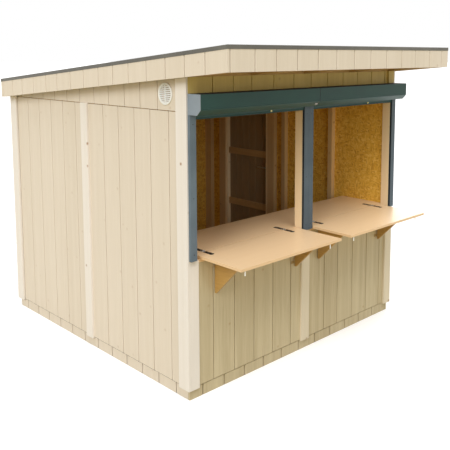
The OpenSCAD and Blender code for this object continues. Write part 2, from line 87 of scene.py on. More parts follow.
def add(tree, kind, inputs=None, stops=None, **settings):
    """Adds a node, sets its properties, then sets or links its inputs."""
    node = tree.nodes.new("ShaderNode" + kind)
    for key, value in settings.items():
        setattr(node, key, value)
    if stops:
        ramp = node.color_ramp.elements
        while len(ramp) < len(stops):
            ramp.new(0.5)
        for element, (place, value) in zip(ramp, stops):
            element.position = place
            element.color = value if isinstance(value, tuple) else (value, value, value, 1)
    for key, value in (inputs or {}).items():
        if isinstance(value, bpy.types.NodeSocket):
            tree.links.new(value, node.inputs[key])
        else:
            node.inputs[key].default_value = value
    return node


def new_material(name):
    material = bpy.data.materials.new(name)
    material.use_nodes = True
    tree = material.node_tree
    tree.nodes.clear()
    place = add(tree, "TexCoord").outputs["Object"]
    return material, tree, place


def close_material(tree, inputs):
    shader = add(tree, "BsdfPrincipled", inputs)
    add(tree, "OutputMaterial", {"Surface": shader.outputs[0]})


def softwood(name, light, dark, along, knots=0.8, cover=None, gloss=0.5, tone=0.5):
    """Planed softwood: long soft streaks with the grain, fine year lines and small round knots.

    along is the grain's axis. cover is the width in metres of boards that differ in tone.
    """
    material, tree, place = new_material(name)
    stretch = [1.0, 1.0, 1.0]
    stretch[along] = 0.03
    grain_place = add(tree, "Mapping", {"Vector": place, "Scale": stretch}).outputs[0]
    bend = add(tree, "TexNoise", {"Vector": place, "Scale": 2.5, "Detail": 2.0})
    bent = add(tree, "MixRGB", {"Fac": 0.012, "Color1": grain_place, "Color2": bend.outputs["Color"]},
               blend_type="ADD").outputs[0]
    # year lines about 7 mm apart, drawn a little coarser than real so that they show
    lines = add(tree, "TexNoise", {"Vector": bent, "Scale": 140.0, "Detail": 3.0, "Roughness": 0.6})
    streaks = add(tree, "TexNoise", {"Vector": bent, "Scale": 22.0, "Detail": 2.0})
    amount = add(tree, "Math", {0: lines.outputs[0], 1: 0.45}, operation="MULTIPLY").outputs[0]
    amount = add(tree, "Math", {0: streaks.outputs[0], 1: 0.55, 2: amount},
                 operation="MULTIPLY_ADD").outputs[0]
    if cover:
        axes = add(tree, "SeparateXYZ", {0: place})
        across = add(tree, "Math", {0: axes.outputs[0], 1: axes.outputs[1]}, operation="ADD").outputs[0]
        board = add(tree, "Math", {0: across, 1: cover}, operation="SNAP").outputs[0]
        board_tone = add(tree, "TexWhiteNoise", {"W": board}, noise_dimensions="1D").outputs[0]
        amount = add(tree, "Math", {0: board_tone, 1: 0.16, 2: amount}, operation="MULTIPLY_ADD").outputs[0]
    shade = add(tree, "MapRange", {"Value": amount, "From Min": 0.32, "From Max": 0.78, "To Max": tone})
    base = add(tree, "MixRGB", {"Fac": shade.outputs[0], "Color1": colour(light),
                                "Color2": colour(dark)}).outputs[0]
    # knots up to 30 mm wide, about ten to the square metre
    wander = add(tree, "TexNoise", {"Vector": place, "Scale": 60.0, "Detail": 1.0})
    knot_place = add(tree, "MixRGB", {"Fac": 0.006, "Color1": place, "Color2": wander.outputs["Color"]},
                     blend_type="ADD").outputs[0]
    knot = add(tree, "TexVoronoi", {"Vector": knot_place, "Scale": 7.0})
    core = add(tree, "ValToRGB", {0: knot.outputs["Distance"]},
               stops=[(0.0, 1.0), (0.045, 0.85), (0.075, 0.3), (0.12, 0.0)])
    strength = add(tree, "Math", {0: core.outputs[0], 1: knots}, operation="MULTIPLY").outputs[0]
    base = add(tree, "MixRGB", {"Fac": strength, "Color1": base, "Color2": colour("#9A6E3E")}).outputs[0]
    rough = add(tree, "MapRange", {"Value": lines.outputs[0], "To Min": gloss - 0.06, "To Max": gloss + 0.1})
    bump = add(tree, "Bump", {"Strength": 0.12, "Distance": 0.0006, "Height": lines.outputs[0]})
    close_material(tree, {"Base Color": base, "Roughness": rough.outputs[0], "Normal": bump.outputs[0],
                          "IOR": 1.5})
    return material


def powder_coat(name, base, second, gloss=0.42):
    """Powder-coated sheet metal: one colour, a faint orange-peel skin and a soft gloss."""
    material, tree, place = new_material(name)
    cloud = add(tree, "TexNoise", {"Vector": place, "Scale": 5.0, "Detail": 4.0})
    skin = add(tree, "TexNoise", {"Vector": place, "Scale": 420.0, "Detail": 1.0})
    shade = add(tree, "MapRange", {"Value": cloud.outputs[0], "From Min": 0.35, "From Max": 0.65})
    paint = add(tree, "MixRGB", {"Fac": shade.outputs[0], "Color1": colour(base), "Color2": colour(second)})
    rough = add(tree, "MapRange", {"Value": cloud.outputs[0], "To Min": gloss - 0.05, "To Max": gloss + 0.08})
    bump = add(tree, "Bump", {"Strength": 0.08, "Distance": 0.0004, "Height": skin.outputs[0]})
    close_material(tree, {"Base Color": paint.outputs[0], "Roughness": rough.outputs[0],
                          "Normal": bump.outputs[0], "IOR": 1.36})
    return material


def strand_board():
    """Oriented strand board: overlapping pressed flakes, each a little lighter or darker."""
    material, tree, place = new_material("oriented strand board")
    axes = add(tree, "SeparateXYZ", {0: place})
    level = add(tree, "Math", {0: axes.outputs[0], 1: axes.outputs[1]}, operation="ADD").outputs[0]
    flat = add(tree, "CombineXYZ", {0: level, 1: axes.outputs[2]}).outputs[0]
    colours = []
    # flakes about 10 by 25 mm, some lying along the board and some across it
    for scale, seed in (((42.0, 95.0, 1.0), 0.0), ((100.0, 38.0, 1.0), 3.7)):
        laid = add(tree, "Mapping", {"Vector": flat, "Location": (seed, seed, 0), "Rotation": (0, 0, 0.35),
                                     "Scale": scale}).outputs[0]
        flakes = add(tree, "TexVoronoi", {"Vector": laid, "Scale": 1.0}, voronoi_dimensions="2D")
        colours.append(add(tree, "RGBToBW", {0: flakes.outputs["Color"]}).outputs[0])
    pick = add(tree, "TexNoise", {"Vector": flat, "Scale": 24.0, "Detail": 1.0})
    top = add(tree, "Math", {0: pick.outputs[0], 1: 0.5}, operation="GREATER_THAN").outputs[0]
    tone = add(tree, "MixRGB", {"Fac": top, "Color1": colours[0], "Color2": colours[1]}).outputs[0]
    wood = add(tree, "ValToRGB", {0: tone}, stops=[(0.1, colour("#CA9130")), (0.4, colour("#E2AE3E")),
                                                   (0.65, colour("#EBBA4A")), (0.95, colour("#F7CF6A"))])
    bump = add(tree, "Bump", {"Strength": 0.25, "Distance": 0.0008, "Height": tone})
    close_material(tree, {"Base Color": wood.outputs[0], "Roughness": 0.62, "Normal": bump.outputs[0]})
    return material


def plywood():
    """Varnished plywood: brown face veneer, with thin pale and dark layers on the cut edges."""
    material, tree, place = new_material("varnished birch plywood")
    grain = add(tree, "Mapping", {"Vector": place, "Scale": (1.0, 0.08, 1.0)}).outputs[0]
    lines = add(tree, "TexNoise", {"Vector": grain, "Scale": 90.0, "Detail": 3.0})
    face = add(tree, "MixRGB", {"Fac": lines.outputs[0], "Color1": colour("#C9A15F"),
                                "Color2": colour("#A67F40")})
    # layers 2 mm thick
    layers = add(tree, "TexWave", {"Vector": place, "Scale": 80.0}, bands_direction="X")
    edge = add(tree, "MixRGB", {"Fac": layers.outputs[0], "Color1": colour("#946E38"),
                                "Color2": colour("#CDAC6E")})
    normal = add(tree, "SeparateXYZ", {0: add(tree, "NewGeometry").outputs["Normal"]}).outputs[0]
    side = add(tree, "Math", {0: add(tree, "Math", {0: normal}, operation="ABSOLUTE").outputs[0], 1: 0.5},
               operation="GREATER_THAN").outputs[0]
    base = add(tree, "MixRGB", {"Fac": side, "Color1": edge.outputs[0], "Color2": face.outputs[0]})
    close_material(tree, {"Base Color": base.outputs[0], "Roughness": 0.45})
    return material


def roofing_felt():
    """Bitumen felt with crushed slate pressed into it: dull, dark grey and finely speckled."""
    material, tree, place = new_material("slate-surfaced bitumen felt")
    # granules of 1 to 2 mm, drawn at 5 mm so that they show
    grit = add(tree, "TexVoronoi", {"Vector": place, "Scale": 200.0})
    speck = add(tree, "RGBToBW", {0: grit.outputs["Color"]}).outputs[0]
    cloud = add(tree, "TexNoise", {"Vector": place, "Scale": 3.0, "Detail": 5.0})
    mix = add(tree, "Math", {0: cloud.outputs[0], 1: 0.4, 2: speck}, operation="MULTIPLY_ADD").outputs[0]
    grey = add(tree, "ValToRGB", {0: mix}, stops=[(0.3, colour("#3C3D3E")), (0.75, colour("#58595A")),
                                                  (1.0, colour("#77777A"))])
    bump = add(tree, "Bump", {"Strength": 0.5, "Distance": 0.001, "Height": speck})
    close_material(tree, {"Base Color": grey.outputs[0], "Roughness": 0.9, "Normal": bump.outputs[0]})
    return material


def plain(name, base, rough, metal=0.0, wear=0.1):
    """An even finish whose gloss wanders a little, as on moulded or plated pieces."""
    material, tree, place = new_material(name)
    cloud = add(tree, "TexNoise", {"Vector": place, "Scale": 40.0, "Detail": 3.0})
    gloss = add(tree, "MapRange", {"Value": cloud.outputs[0], "To Min": rough - wear, "To Max": rough + wear})
    tint = add(tree, "MapRange", {"Value": cloud.outputs[0], "To Min": 0.94, "To Max": 1.04})
    shade = add(tree, "MixRGB", {"Fac": 1.0, "Color1": colour(base), "Color2": tint.outputs[0]},
                blend_type="MULTIPLY")
    close_material(tree, {"Base Color": shade.outputs[0], "Metallic": metal, "Roughness": gloss.outputs[0]})
    return material


BOARD_COVER = 0.201      # metres
CLADDING = softwood("planed spruce boards, upright", "#DFD3C3", "#CABCA6", ALONG_Z, knots=0.22,
                    cover=BOARD_COVER, tone=0.42)
# the same spruce boards drawn darker and yellower: painted shade under the counters, for the front wall and
# the front plinth
SHADED_CLADDING = softwood("spruce boards darkened and yellowed for painted shade", "#D1C3A2", "#A2906A", ALONG_Z, knots=0.4,
                     cover=BOARD_COVER, tone=0.62)
TRIM_UPRIGHT = softwood("planed spruce trim, upright", "#E9E2DB", "#D7CDBD", ALONG_Z, knots=0.9, tone=0.4)
# a darker, yellower copy of the trim: painted shade, used on the front right corner and the middle front
# batten
TRIM_SHADED = softwood("spruce trim darkened for painted shade", "#E0D4BE", "#C8BA9C", ALONG_Z, knots=0.9, tone=0.5)
# boards under the eaves: their golden tone is partly the wood's own and partly painted warm shade from under
# the roof
HEADER_WARM_SHADE = softwood("honey spruce boards with painted warm shade under the eaves", "#DCC578", "#BDA65A", ALONG_Z, knots=0.4,
                  cover=BOARD_COVER)
ROOF_DECK = softwood("roof boards", "#DEC79E", "#C2A677", ALONG_X, knots=0.5)
POST = softwood("glued softwood posts", "#F6DFB8", "#E4C08A", ALONG_Z, knots=0.6)
STUD = softwood("sawn studs", "#DAB984", "#B8935C", ALONG_Z, knots=0.7, gloss=0.65)
# darker brown than the outer boards: painted shade inside the hut
INNER_DOOR_SHADED = softwood("inner door boards darkened brown for painted shade", "#A08763", "#7C6545", ALONG_Z, knots=0.5, gloss=0.6)
BEAM_X = softwood("sawn beams along the front", "#CBA873", "#A7824E", ALONG_X, knots=0.6, gloss=0.65)
BEAM_Y = softwood("sawn rafters", "#CBA873", "#A7824E", ALONG_Y, knots=0.6, gloss=0.65)
FLOOR_DECK = softwood("floor boards", "#D2BC94", "#B59A6C", ALONG_Y, knots=0.5, gloss=0.6)
COUNTER_TOP = softwood("beech-pattern counter board", "#F0CFA4", "#E8C496", ALONG_X, knots=0.0,
                       gloss=0.34, tone=0.3)
EDGE_BAND = plain("counter edge band", "#E2BF92", 0.4)
OSB = strand_board()
PLYWOOD = plywood()
FELT = roofing_felt()
EDGING = powder_coat("grey coated roof edging", "#5F5D58", "#6A6862")
SHUTTER_GREEN = powder_coat("dark green-grey powder coat", "#173D37", "#1D443D")
# near black: painted shade in the gap between the two cases
JOINT_SHADE_GREEN = powder_coat("blackish green powder coat for painted shade in the joint", "#0C1F1B", "#10241F")
# one slate coat in two copies: the left rail's painted lighter for light from the left, the other rails'
# painted darker for the shade under the cases
LEFT_RAIL_LIT_GREY = powder_coat("slate powder coat painted lighter for light from the left", "#5B6974", "#66747F")
RAIL_SHADED_GREY = powder_coat("slate grey powder coat", "#46545F", "#505E69")
CAP_GREY = powder_coat("light grey powder coat", "#848F9B", "#8E99A4")
BLACK_STEEL = plain("black coated hinge steel", "#1C1B1A", 0.38, 0.0)
BRONZE = plain("bronze-lacquered hinge steel", "#A88C5C", 0.5)
BRUSH = plain("black nylon brush", "#141414", 0.8)
# black: real rubber for the end bars' seals, and painted shade for the sheets on the cases' tops
RUBBER_AND_SHADE = plain("black rubber seal and painted shade", "#141414", 0.8)
# dark brown: painted shade in the gap between the side walls and the plinth
GAP_SHADE_STRIP = plain("dark brown painted shade strip", "#3A2C1C", 0.9)
ZINC = plain("zinc-plated screws", "#B9BCC0", 0.34, 1.0)
IRON = plain("dark galvanised ironwork", "#5B5E60", 0.5, 0.9)
ALUMINIUM = plain("satin aluminium", "#BFC1C3", 0.32, 1.0)
WHITE_PLASTIC = plain("white moulded plastic", "#EDEDEA", 0.35)
BRASS = plain("pale brass lock stud", "#D9CC8C", 0.3, 0.8)


# ---------------------------------------------------------------- modelling by hand
def pick_only(piece):
    bpy.ops.object.select_all(action="DESELECT")
    piece.select_set(True)
    bpy.context.view_layer.objects.active = piece


def block(name, low, high):
    """A squared piece of stuff between two corners."""
    bpy.ops.object.select_all(action="DESELECT")
    size = [(h - l) / 1000 for l, h in zip(low, high)]
    middle = at(*[(l + h) / 2 for l, h in zip(low, high)])
    bpy.ops.mesh.primitive_cube_add(size=1, location=middle, scale=size)
    piece = bpy.context.object
    piece.name = name
    bpy.ops.object.transform_apply(location=True, rotation=True, scale=True)
    return piece


def rod(name, middle, radius, length, along, sides=20):
    """A round bar whose middle and axis are given."""
    bpy.ops.object.select_all(action="DESELECT")
    turn = {ALONG_X: (0, math.pi / 2, 0), ALONG_Y: (math.pi / 2, 0, 0), ALONG_Z: (0, 0, 0)}[along]
    bpy.ops.mesh.primitive_cylinder_add(vertices=sides, radius=radius / 1000, depth=length / 1000,
                                        location=at(*middle), rotation=turn)
    piece = bpy.context.object
    piece.name = name
    bpy.ops.object.transform_apply(location=True, rotation=True, scale=True)
    return piece


def start_edit(piece, kind="VERT"):
    pick_only(piece)
    bpy.ops.object.mode_set(mode="EDIT")
    bpy.ops.mesh.select_mode(type=kind)
    bpy.ops.mesh.select_all(action="DESELECT")


def end_edit():
    bpy.ops.object.mode_set(mode="OBJECT")


def select(piece, kind, test):
    """In edit mode, selects what passes the test, which gets each one's middle in metres."""
    mesh = bmesh.from_edit_mesh(piece.data)
    if kind == "VERT":
        for vert in mesh.verts:
            vert.select = test(vert.co)
    elif kind == "EDGE":
        for edge in mesh.edges:
            edge.select = test((edge.verts[0].co + edge.verts[1].co) / 2)
    else:
        for face in mesh.faces:
            face.select = test(face.calc_center_median())
    mesh.select_flush_mode()
    bmesh.update_edit_mesh(piece.data)


def slice_off(piece, point, normal):
    """Cuts away what lies on the normal's side of a plane, and closes the cut."""
    start_edit(piece)
    bpy.ops.mesh.select_all(action="SELECT")
    bpy.ops.mesh.bisect(plane_co=at(*point), plane_no=normal, use_fill=True, clear_outer=True)
    end_edit()
    return piece


def under_roof(piece, drop):
    """Cuts a piece's head to the pitch of the roof, that far under its surface."""
    return slice_off(piece, (0, 0, roof_height(0) - drop), (0, SLOPE, 1))


def above_roof_line(piece, drop):
    return slice_off(piece, (0, 0, roof_height(0) - drop), (0, -SLOPE, -1))


def groove(piece, along, places, face_axis, face, inward, half=5.5, slope=2, slot=3, deep=11):
    """The joint between two tongue-and-groove boards: a shallow V with a narrow open slot in its middle."""
    start_edit(piece)
    cut_normal = Vector((0, 0, 0))
    cut_normal[along] = 1
    lines = []
    for place in places:
        for step in (-half, -slot, slot, half):
            point = [0, 0, 0]
            point[along] = place + step
            bpy.ops.mesh.select_all(action="SELECT")
            bpy.ops.mesh.bisect(plane_co=at(*point), plane_no=cut_normal)
        middle = [0, 0, 0]
        middle[along] = place
        lines.append(at(*middle)[along])
    where = [0, 0, 0]
    where[face_axis] = face
    level = at(*where)[face_axis]
    push = Vector((0, 0, 0))
    push[face_axis] = inward * slope / 1000
    select(piece, "VERT", lambda co: abs(co[face_axis] - level) < 1e-4
           and any(abs(co[along] - line) < (slot + 0.4) / 1000 for line in lines))
    bpy.ops.transform.translate(value=push)
    bpy.ops.mesh.select_mode(type="FACE")
    select(piece, "FACE", lambda co: abs(co[face_axis] - level - push[face_axis]) < 1e-4
           and any(abs(co[along] - line) < slot / 2000 for line in lines))
    push[face_axis] = inward * deep / 1000
    bpy.ops.mesh.extrude_region_move(TRANSFORM_OT_translate={"value": push})
    end_edit()
    return piece


def soften(piece, width, segments=2, angle=30):
    """Rounds the sharp edges by a small width."""
    pick_only(piece)
    bevel = piece.modifiers.new("round edges", "BEVEL")
    bevel.width = width / 1000
    bevel.segments = segments
    bevel.limit_method = "ANGLE"
    bevel.angle_limit = math.radians(angle)
    bpy.ops.object.modifier_apply(modifier=bevel.name)
    return piece


def cut(piece, tool):
    """Takes the tool's shape out of the piece."""
    pick_only(piece)
    hole = piece.modifiers.new("hole", "BOOLEAN")
    hole.operation = "DIFFERENCE"
    hole.solver = "EXACT"
    hole.object = tool
    bpy.ops.object.modifier_apply(modifier=hole.name)
    bpy.data.objects.remove(tool)
    return piece


def join(name, pieces):
    """Makes several loose pieces one object."""
    bpy.ops.object.select_all(action="DESELECT")
    for piece in pieces:
        piece.select_set(True)
    bpy.context.view_layer.objects.active = pieces[0]
    if len(pieces) > 1:
        bpy.ops.object.join()
    pieces[0].name = name
    return pieces[0]


def copy_to(piece, name, step):
    """A copy with its own mesh, moved by step millimetres."""
    twin = piece.copy()
    twin.data = piece.data.copy()
    twin.name = name
    bpy.context.collection.objects.link(twin)
    twin.data.transform(Matrix.Translation(Vector(step) / 1000))
    return twin


def use(piece, material, body, slot, *nodes, smooth=True):
    """Finishes a piece: its material, the body that it rides on and what it replaces. The slot is not used.
    """
    piece.data.materials.clear()
    piece.data.materials.append(material)
    if smooth:
        pick_only(piece)
        bpy.ops.object.shade_smooth_by_angle(angle=math.radians(20))
    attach(piece, body)
    if nodes:
        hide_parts(*nodes)
    return piece


def screws(name, places, axis, out, body, slot, material=None, radius=4.5, stand=0.9):
    """Round screw heads with a hollow in the middle: one is modelled, the rest are copies of it."""
    first = rod(name, places[0], radius, stand * 2, axis, 16)
    start_edit(first, "FACE")
    level = at(*places[0])[axis] + out * stand / 1000
    select(first, "FACE", lambda co: abs(co[axis] - level) < 1e-5)
    bpy.ops.mesh.inset(thickness=radius * 0.42 / 1000)
    push = [0, 0, 0]
    push[axis] = -out * stand * 0.9 / 1000
    bpy.ops.transform.translate(value=push)
    end_edit()
    heads = [first]
    for place in places[1:]:
        heads.append(copy_to(first, name, [b - a for a, b in zip(places[0], place)]))
    return use(join(name, heads), material or ZINC, body, slot)


# ---------------------------------------------------------------- framing that stays as the CAD has it
def finish_node(name, material):
    node = NODES[name]
    node.data.materials.clear()
    node.data.materials.append(material)


for node_name, node_material in {
    "floor_bearers": BEAM_Y, "floor_deck": FLOOR_DECK, "wall_sheathing": OSB, "wall_studs": STUD,
    "front_beam": BEAM_X, "rafters": BEAM_Y, "counter_bearers": BEAM_Y, "door_lining": POST,
    "serving_sill": COUNTER_TOP, "bracket_hinges": BRONZE, "roof_edging": EDGING,
}.items():
    finish_node(node_name, node_material)


# ---------------------------------------------------------------- wall boards
LEFT_LINES = [208, 417, 608, 809, 1012, 1418, 1616, 1814, 2018, 2220, 2421]
LEFT_GABLE_LINES = [130, 327, 530, 723, 931, 1132, 1341, 1538, 1738, 1938, 2140, 2340]
FRONT_LINES = [239, 441, 639, 841, 1043, 1455, 1632, 1836, 2043, 2239]
HEADER_LINES = [245, 435, 615, 843, 1064, 1265, 1465, 1668, 1866, 2067, 2266]


def even_lines(first, count=12):
    """Joints between boards that all cover the same width."""
    return [first + 201 * n for n in range(count)]


BOARD_FOOT = BASE + 5     # the boards stop clear of the plinth, which leaves a dark line
BOARD_HEAD = PANEL_TOP - 5
UNDER_BOARDS, UNDER_RAFTERS = 22.7, 159.7        # roof surface to the heads of side and front walls
DOOR_FRONT, DOOR_BACK, DOOR_HEAD = 1490, 2150, 1920    # the doorway in the right wall


def wall(name, node, low, high, along, lines, face_axis, outside, slot="cladding", material=CLADDING,
         head=None):
    """A wall of tongue-and-groove boards, grooved on its outer face."""
    panel = block(name, low, high)
    if head:
        under_roof(panel, head)
    face = high[face_axis] if outside > 0 else low[face_axis]
    groove(panel, along, lines, face_axis, face, -outside)
    return use(panel, material, "hut", slot, node, smooth=False)


wall("left_wall_boards", "left_wall", (OUT_LEFT, OUT_FRONT, BOARD_FOOT), (IN_LEFT, OUT_BACK, BOARD_HEAD),
     ALONG_Y, LEFT_LINES, 0, -1)
wall("back_wall_boards", "back_wall", (IN_LEFT, IN_BACK, BOARD_FOOT), (IN_RIGHT, OUT_BACK, PANEL_TOP - 1),
     ALONG_X, even_lines(132), 1, 1)
wall("right_wall_front_boards", "right_wall_front", (IN_RIGHT, OUT_FRONT, BOARD_FOOT),
     (OUT_RIGHT, DOOR_FRONT, BOARD_HEAD), ALONG_Y, even_lines(109, 7), 0, 1)
wall("right_wall_rear_boards", "right_wall_rear", (IN_RIGHT, DOOR_BACK, BOARD_FOOT),
     (OUT_RIGHT, OUT_BACK, BOARD_HEAD), ALONG_Y, even_lines(2250, 2), 0, 1)
wall("boards_over_door", "right_wall_over_door", (IN_RIGHT, DOOR_FRONT, DOOR_HEAD),
     (OUT_RIGHT, DOOR_BACK, BOARD_HEAD), ALONG_Y, even_lines(1720, 2), 0, 1)
# the front wall's boards take the painted-shade copy of the cladding
wall("front_wall_boards", "front_wall", (IN_LEFT, OUT_FRONT, BOARD_FOOT), (IN_RIGHT, IN_FRONT, 955),
     ALONG_X, FRONT_LINES, 1, -1, material=SHADED_CLADDING)
# the front wall's head takes the partly painted-shade header colour
wall("front_header_boards", "front_wall_head", (IN_LEFT, OUT_FRONT, POST_TOP), (IN_RIGHT, IN_FRONT, 2240),
     ALONG_X, HEADER_LINES, 1, -1, "header", HEADER_WARM_SHADE, UNDER_RAFTERS)
wall("right_gable_boards", "right_gable", (IN_RIGHT, OUT_FRONT, PANEL_TOP), (OUT_RIGHT, OUT_BACK, 2370),
     ALONG_Y, even_lines(109), 0, 1, head=UNDER_BOARDS)

VENT_RING, VENT_MOUTH, DUCT = 75, 62, 65         # radii
VENT_Y = 232
VENT_Z = roof_height(VENT_Y) - FASCIA_DEPTH - VENT_RING - 17
gable = block("left_gable_boards", (OUT_LEFT, OUT_FRONT, PANEL_TOP), (IN_LEFT, OUT_BACK, 2370))
under_roof(gable, UNDER_BOARDS)
groove(gable, ALONG_Y, LEFT_GABLE_LINES, 0, OUT_LEFT, 1)
cut(gable, rod("duct", (24, VENT_Y, VENT_Z), DUCT, 40, ALONG_X, 48))
use(gable, CLADDING, "hut", "cladding", "left_gable", smooth=False)

# the plinth's short upright boards, set back behind the wall boards
PLINTH_IN, PLINTH_TOP = 22, 78
PLINTH_RIGHT, PLINTH_BACK = WIDTH - PLINTH_IN, DEPTH - PLINTH_IN
SIDE_START, SIDE_END = PLINTH_IN + BOARD + 0.5, PLINTH_BACK - BOARD - 0.5
plinth = []
for low, high, along, first_line, axis, face, inward in (
    ((PLINTH_IN, PLINTH_IN, 0), (PLINTH_RIGHT, PLINTH_IN + BOARD, PLINTH_TOP), ALONG_X, 142, 1, PLINTH_IN, 1),
    ((PLINTH_IN, PLINTH_BACK - BOARD, 0), (PLINTH_RIGHT, PLINTH_BACK, PLINTH_TOP), ALONG_X, 150, 1,
     PLINTH_BACK, -1),
    ((PLINTH_IN, SIDE_START, 0), (PLINTH_IN + BOARD, SIDE_END, PLINTH_TOP), ALONG_Y, 171, 0, PLINTH_IN, 1),
    ((PLINTH_RIGHT - BOARD, SIDE_START, 0), (PLINTH_RIGHT, SIDE_END, PLINTH_TOP), ALONG_Y, 109, 0,
     PLINTH_RIGHT, -1),
):
    plinth.append(groove(block("plinth", low, high), along, even_lines(first_line), axis, face, inward,
                         half=7, slot=4.5, deep=14))
# the front plinth boards take the painted-shade copy of the cladding
use(plinth[0], SHADED_CLADDING, "hut", "trim", smooth=False)
plinth[0].name = "front_plinth_boards"
use(join("plinth_boards", plinth[1:]), CLADDING, "hut", "trim", "plinth", smooth=False)

# dark strips in the gap between the side walls and the plinth: painted shade that darkens the gap's line
gap_shade_pieces = [block("gap_shade_pieces", (x, 40, 78.2), (x + 6, 2490, BOARD_FOOT - 0.2)) for x in (PLINTH_IN, 2372)]
use(join("side_gap_shade_strips", gap_shade_pieces), GAP_SHADE_STRIP, "hut", "hinge", smooth=False)

# ---------------------------------------------------------------- trims
CORNER = BOARD + TRIM_WIDE     # the side board of a corner also covers the edge of the wall


def corner(name, node, side_low, side_high, face_low, face_high, material=TRIM_UPRIGHT):
    """Two boards that wrap a corner. The side board runs up to the roof."""
    parts = [soften(under_roof(block(name, side_low, side_high), UNDER_BOARDS), 1.2)]
    parts.append(soften(under_roof(block(name, face_low, face_high), UNDER_RAFTERS), 1.2))
    return use(join(name, parts), material, "hut", "trim", node)


FACE_LEFT, FACE_RIGHT = OUT_LEFT + TRIM_GAP, OUT_RIGHT - TRIM_GAP    # the face boards' outer edges
corner("front_left_corner_boards", "corner_trim_front_left", (0, 0, FOOT), (OUT_LEFT, CORNER, 2350),
       (FACE_LEFT, 0, FOOT), (TRIM_WIDE, OUT_FRONT, SILL))
# the front right corner takes the painted-shade copy of the trim
corner("front_right_corner_boards", "corner_trim_front_right", (OUT_RIGHT, 0, FOOT), (WIDTH, CORNER, 2350),
       (WIDTH - TRIM_WIDE, 0, FOOT), (FACE_RIGHT, OUT_FRONT, SILL), TRIM_SHADED)
# the boards over the cases' ends take the partly painted-shade header colour
over_cases = [
    under_roof(block("board_over_case", (x0, 0, BOX_HIGH + 0.5), (x1, OUT_FRONT, 2240)), UNDER_RAFTERS)
    for x0, x1 in ((FACE_LEFT, TRIM_WIDE), (WIDTH - TRIM_WIDE, FACE_RIGHT))
]
use(join("boards_over_case_ends", over_cases), HEADER_WARM_SHADE, "hut", "header", smooth=False)
corner("back_left_corner_boards", "corner_trim_back_left", (0, DEPTH - CORNER, FOOT), (OUT_LEFT, DEPTH, 2200),
       (FACE_LEFT, OUT_BACK, FOOT), (TRIM_WIDE, DEPTH, 2100))
corner("back_right_corner_boards", "corner_trim_back_right", (OUT_RIGHT, DEPTH - CORNER, FOOT),
       (WIDTH, DEPTH, 2200), (WIDTH - TRIM_WIDE, OUT_BACK, FOOT), (FACE_RIGHT, DEPTH, 2100))

BATTEN_FOOT = FOOT + 2
battens = [
    soften(block("batten", low, high), 1.2)
    for low, high in (
        ((0, 1217.5, BATTEN_FOOT), (OUT_LEFT, 1312.5, PANEL_TOP)),
        ((OUT_RIGHT, 1217.5, BATTEN_FOOT), (WIDTH, 1312.5, PANEL_TOP)),
        ((1152.5, OUT_BACK, BATTEN_FOOT), (1247.5, DEPTH, PANEL_TOP - 5)),
    )
]
# the middle front batten takes the painted-shade copy of the trim
front_batten = soften(block("front_batten_board", (1152.5, 0, BATTEN_FOOT), (1247.5, OUT_FRONT, SILL)), 1.2)
use(front_batten, TRIM_SHADED, "hut", "trim")
use(join("cover_batten_boards", battens), TRIM_UPRIGHT, "hut", "trim", "cover_battens")

# screws down the trims: x and y of each row, the face they sit in, and the highest one
LOWEST_SCREW, SCREW_STEP = 110, 420
rows = []
for x, y, out, axis, top in (
    (0, 55, -1, 0, 2050), (0, 1265, -1, 0, 1940), (0, 2475, -1, 0, 1950),
    (WIDTH, 55, 1, 0, 2050), (WIDTH, 1265, 1, 0, 1940), (WIDTH, 2475, 1, 0, 1950),
    (48, 0, -1, 1, 940), (1200, 0, -1, 1, 940), (2352, 0, -1, 1, 940),
    (48, DEPTH, 1, 1, 1940), (1200, DEPTH, 1, 1, 1940), (2352, DEPTH, 1, 1, 1940),
):
    spaces = max(2, round((top - LOWEST_SCREW) / SCREW_STEP))
    heights = [LOWEST_SCREW + n * (top - LOWEST_SCREW) / spaces for n in range(spaces + 1)]
    sunk_x, sunk_y = x - 0.4 * out * (axis == 0), y - 0.4 * out * (axis == 1)
    rows.append((axis, out, [(sunk_x, sunk_y, z) for z in heights]))
for number, (axis, out, places) in enumerate(rows):
    screws(f"trim_screws_{number + 1}", places, axis, out, "hut", "handle", radius=3.6, stand=0.3)

# ---------------------------------------------------------------- posts between the openings
# each post stands behind the opening's edge, with a face that reaches forward between the trims
POST_BACK = 78
posts = []
for (face_x0, face_x1), (x0, x1) in (((16.5, 65), (32.5, 65)), ((1152, 1248), (1152, 1248)),
                                     ((2335, 2383.5), (2335, 2367.5))):
    posts.append(soften(block("post", (x0, OUT_FRONT, SILL), (x1, POST_BACK - 0.2, POST_TOP)), 1.5))
    posts.append(soften(block("post_face", (face_x0, 0, SILL), (face_x1, OUT_FRONT + 0.2, POST_TOP)), 1.5))
for x0, x1 in ((32.5, 65), (1152, 1248), (2335, 2367.5)):
    posts.append(soften(block("post_foot", (x0, IN_FRONT, BASE), (x1, POST_BACK, SILL)), 1.5))
use(join("serving_post_timbers", posts), POST, "hut", "post", "serving_posts")

# ---------------------------------------------------------------- roof
SHEET_SHOWS, SHEET_LAP = 830, 90
base_sheet = block("felt", (EAVES_LEFT, EAVES_FRONT, 2100), (EAVES_RIGHT, EAVES_BACK, 2450))
felt = [above_roof_line(under_roof(base_sheet, 2.0), 4)]
for seam in (420, 420 + SHEET_SHOWS, 420 + 2 * SHEET_SHOWS):
    lap = under_roof(block("lap", (EAVES_LEFT, seam - SHEET_LAP, 2100), (EAVES_RIGHT, seam, 2450)), 0.2)
    felt.append(above_roof_line(lap, 2.2))
use(join("felt_sheets", felt), FELT, "hut", "felt", "roofing_felt", smooth=False)

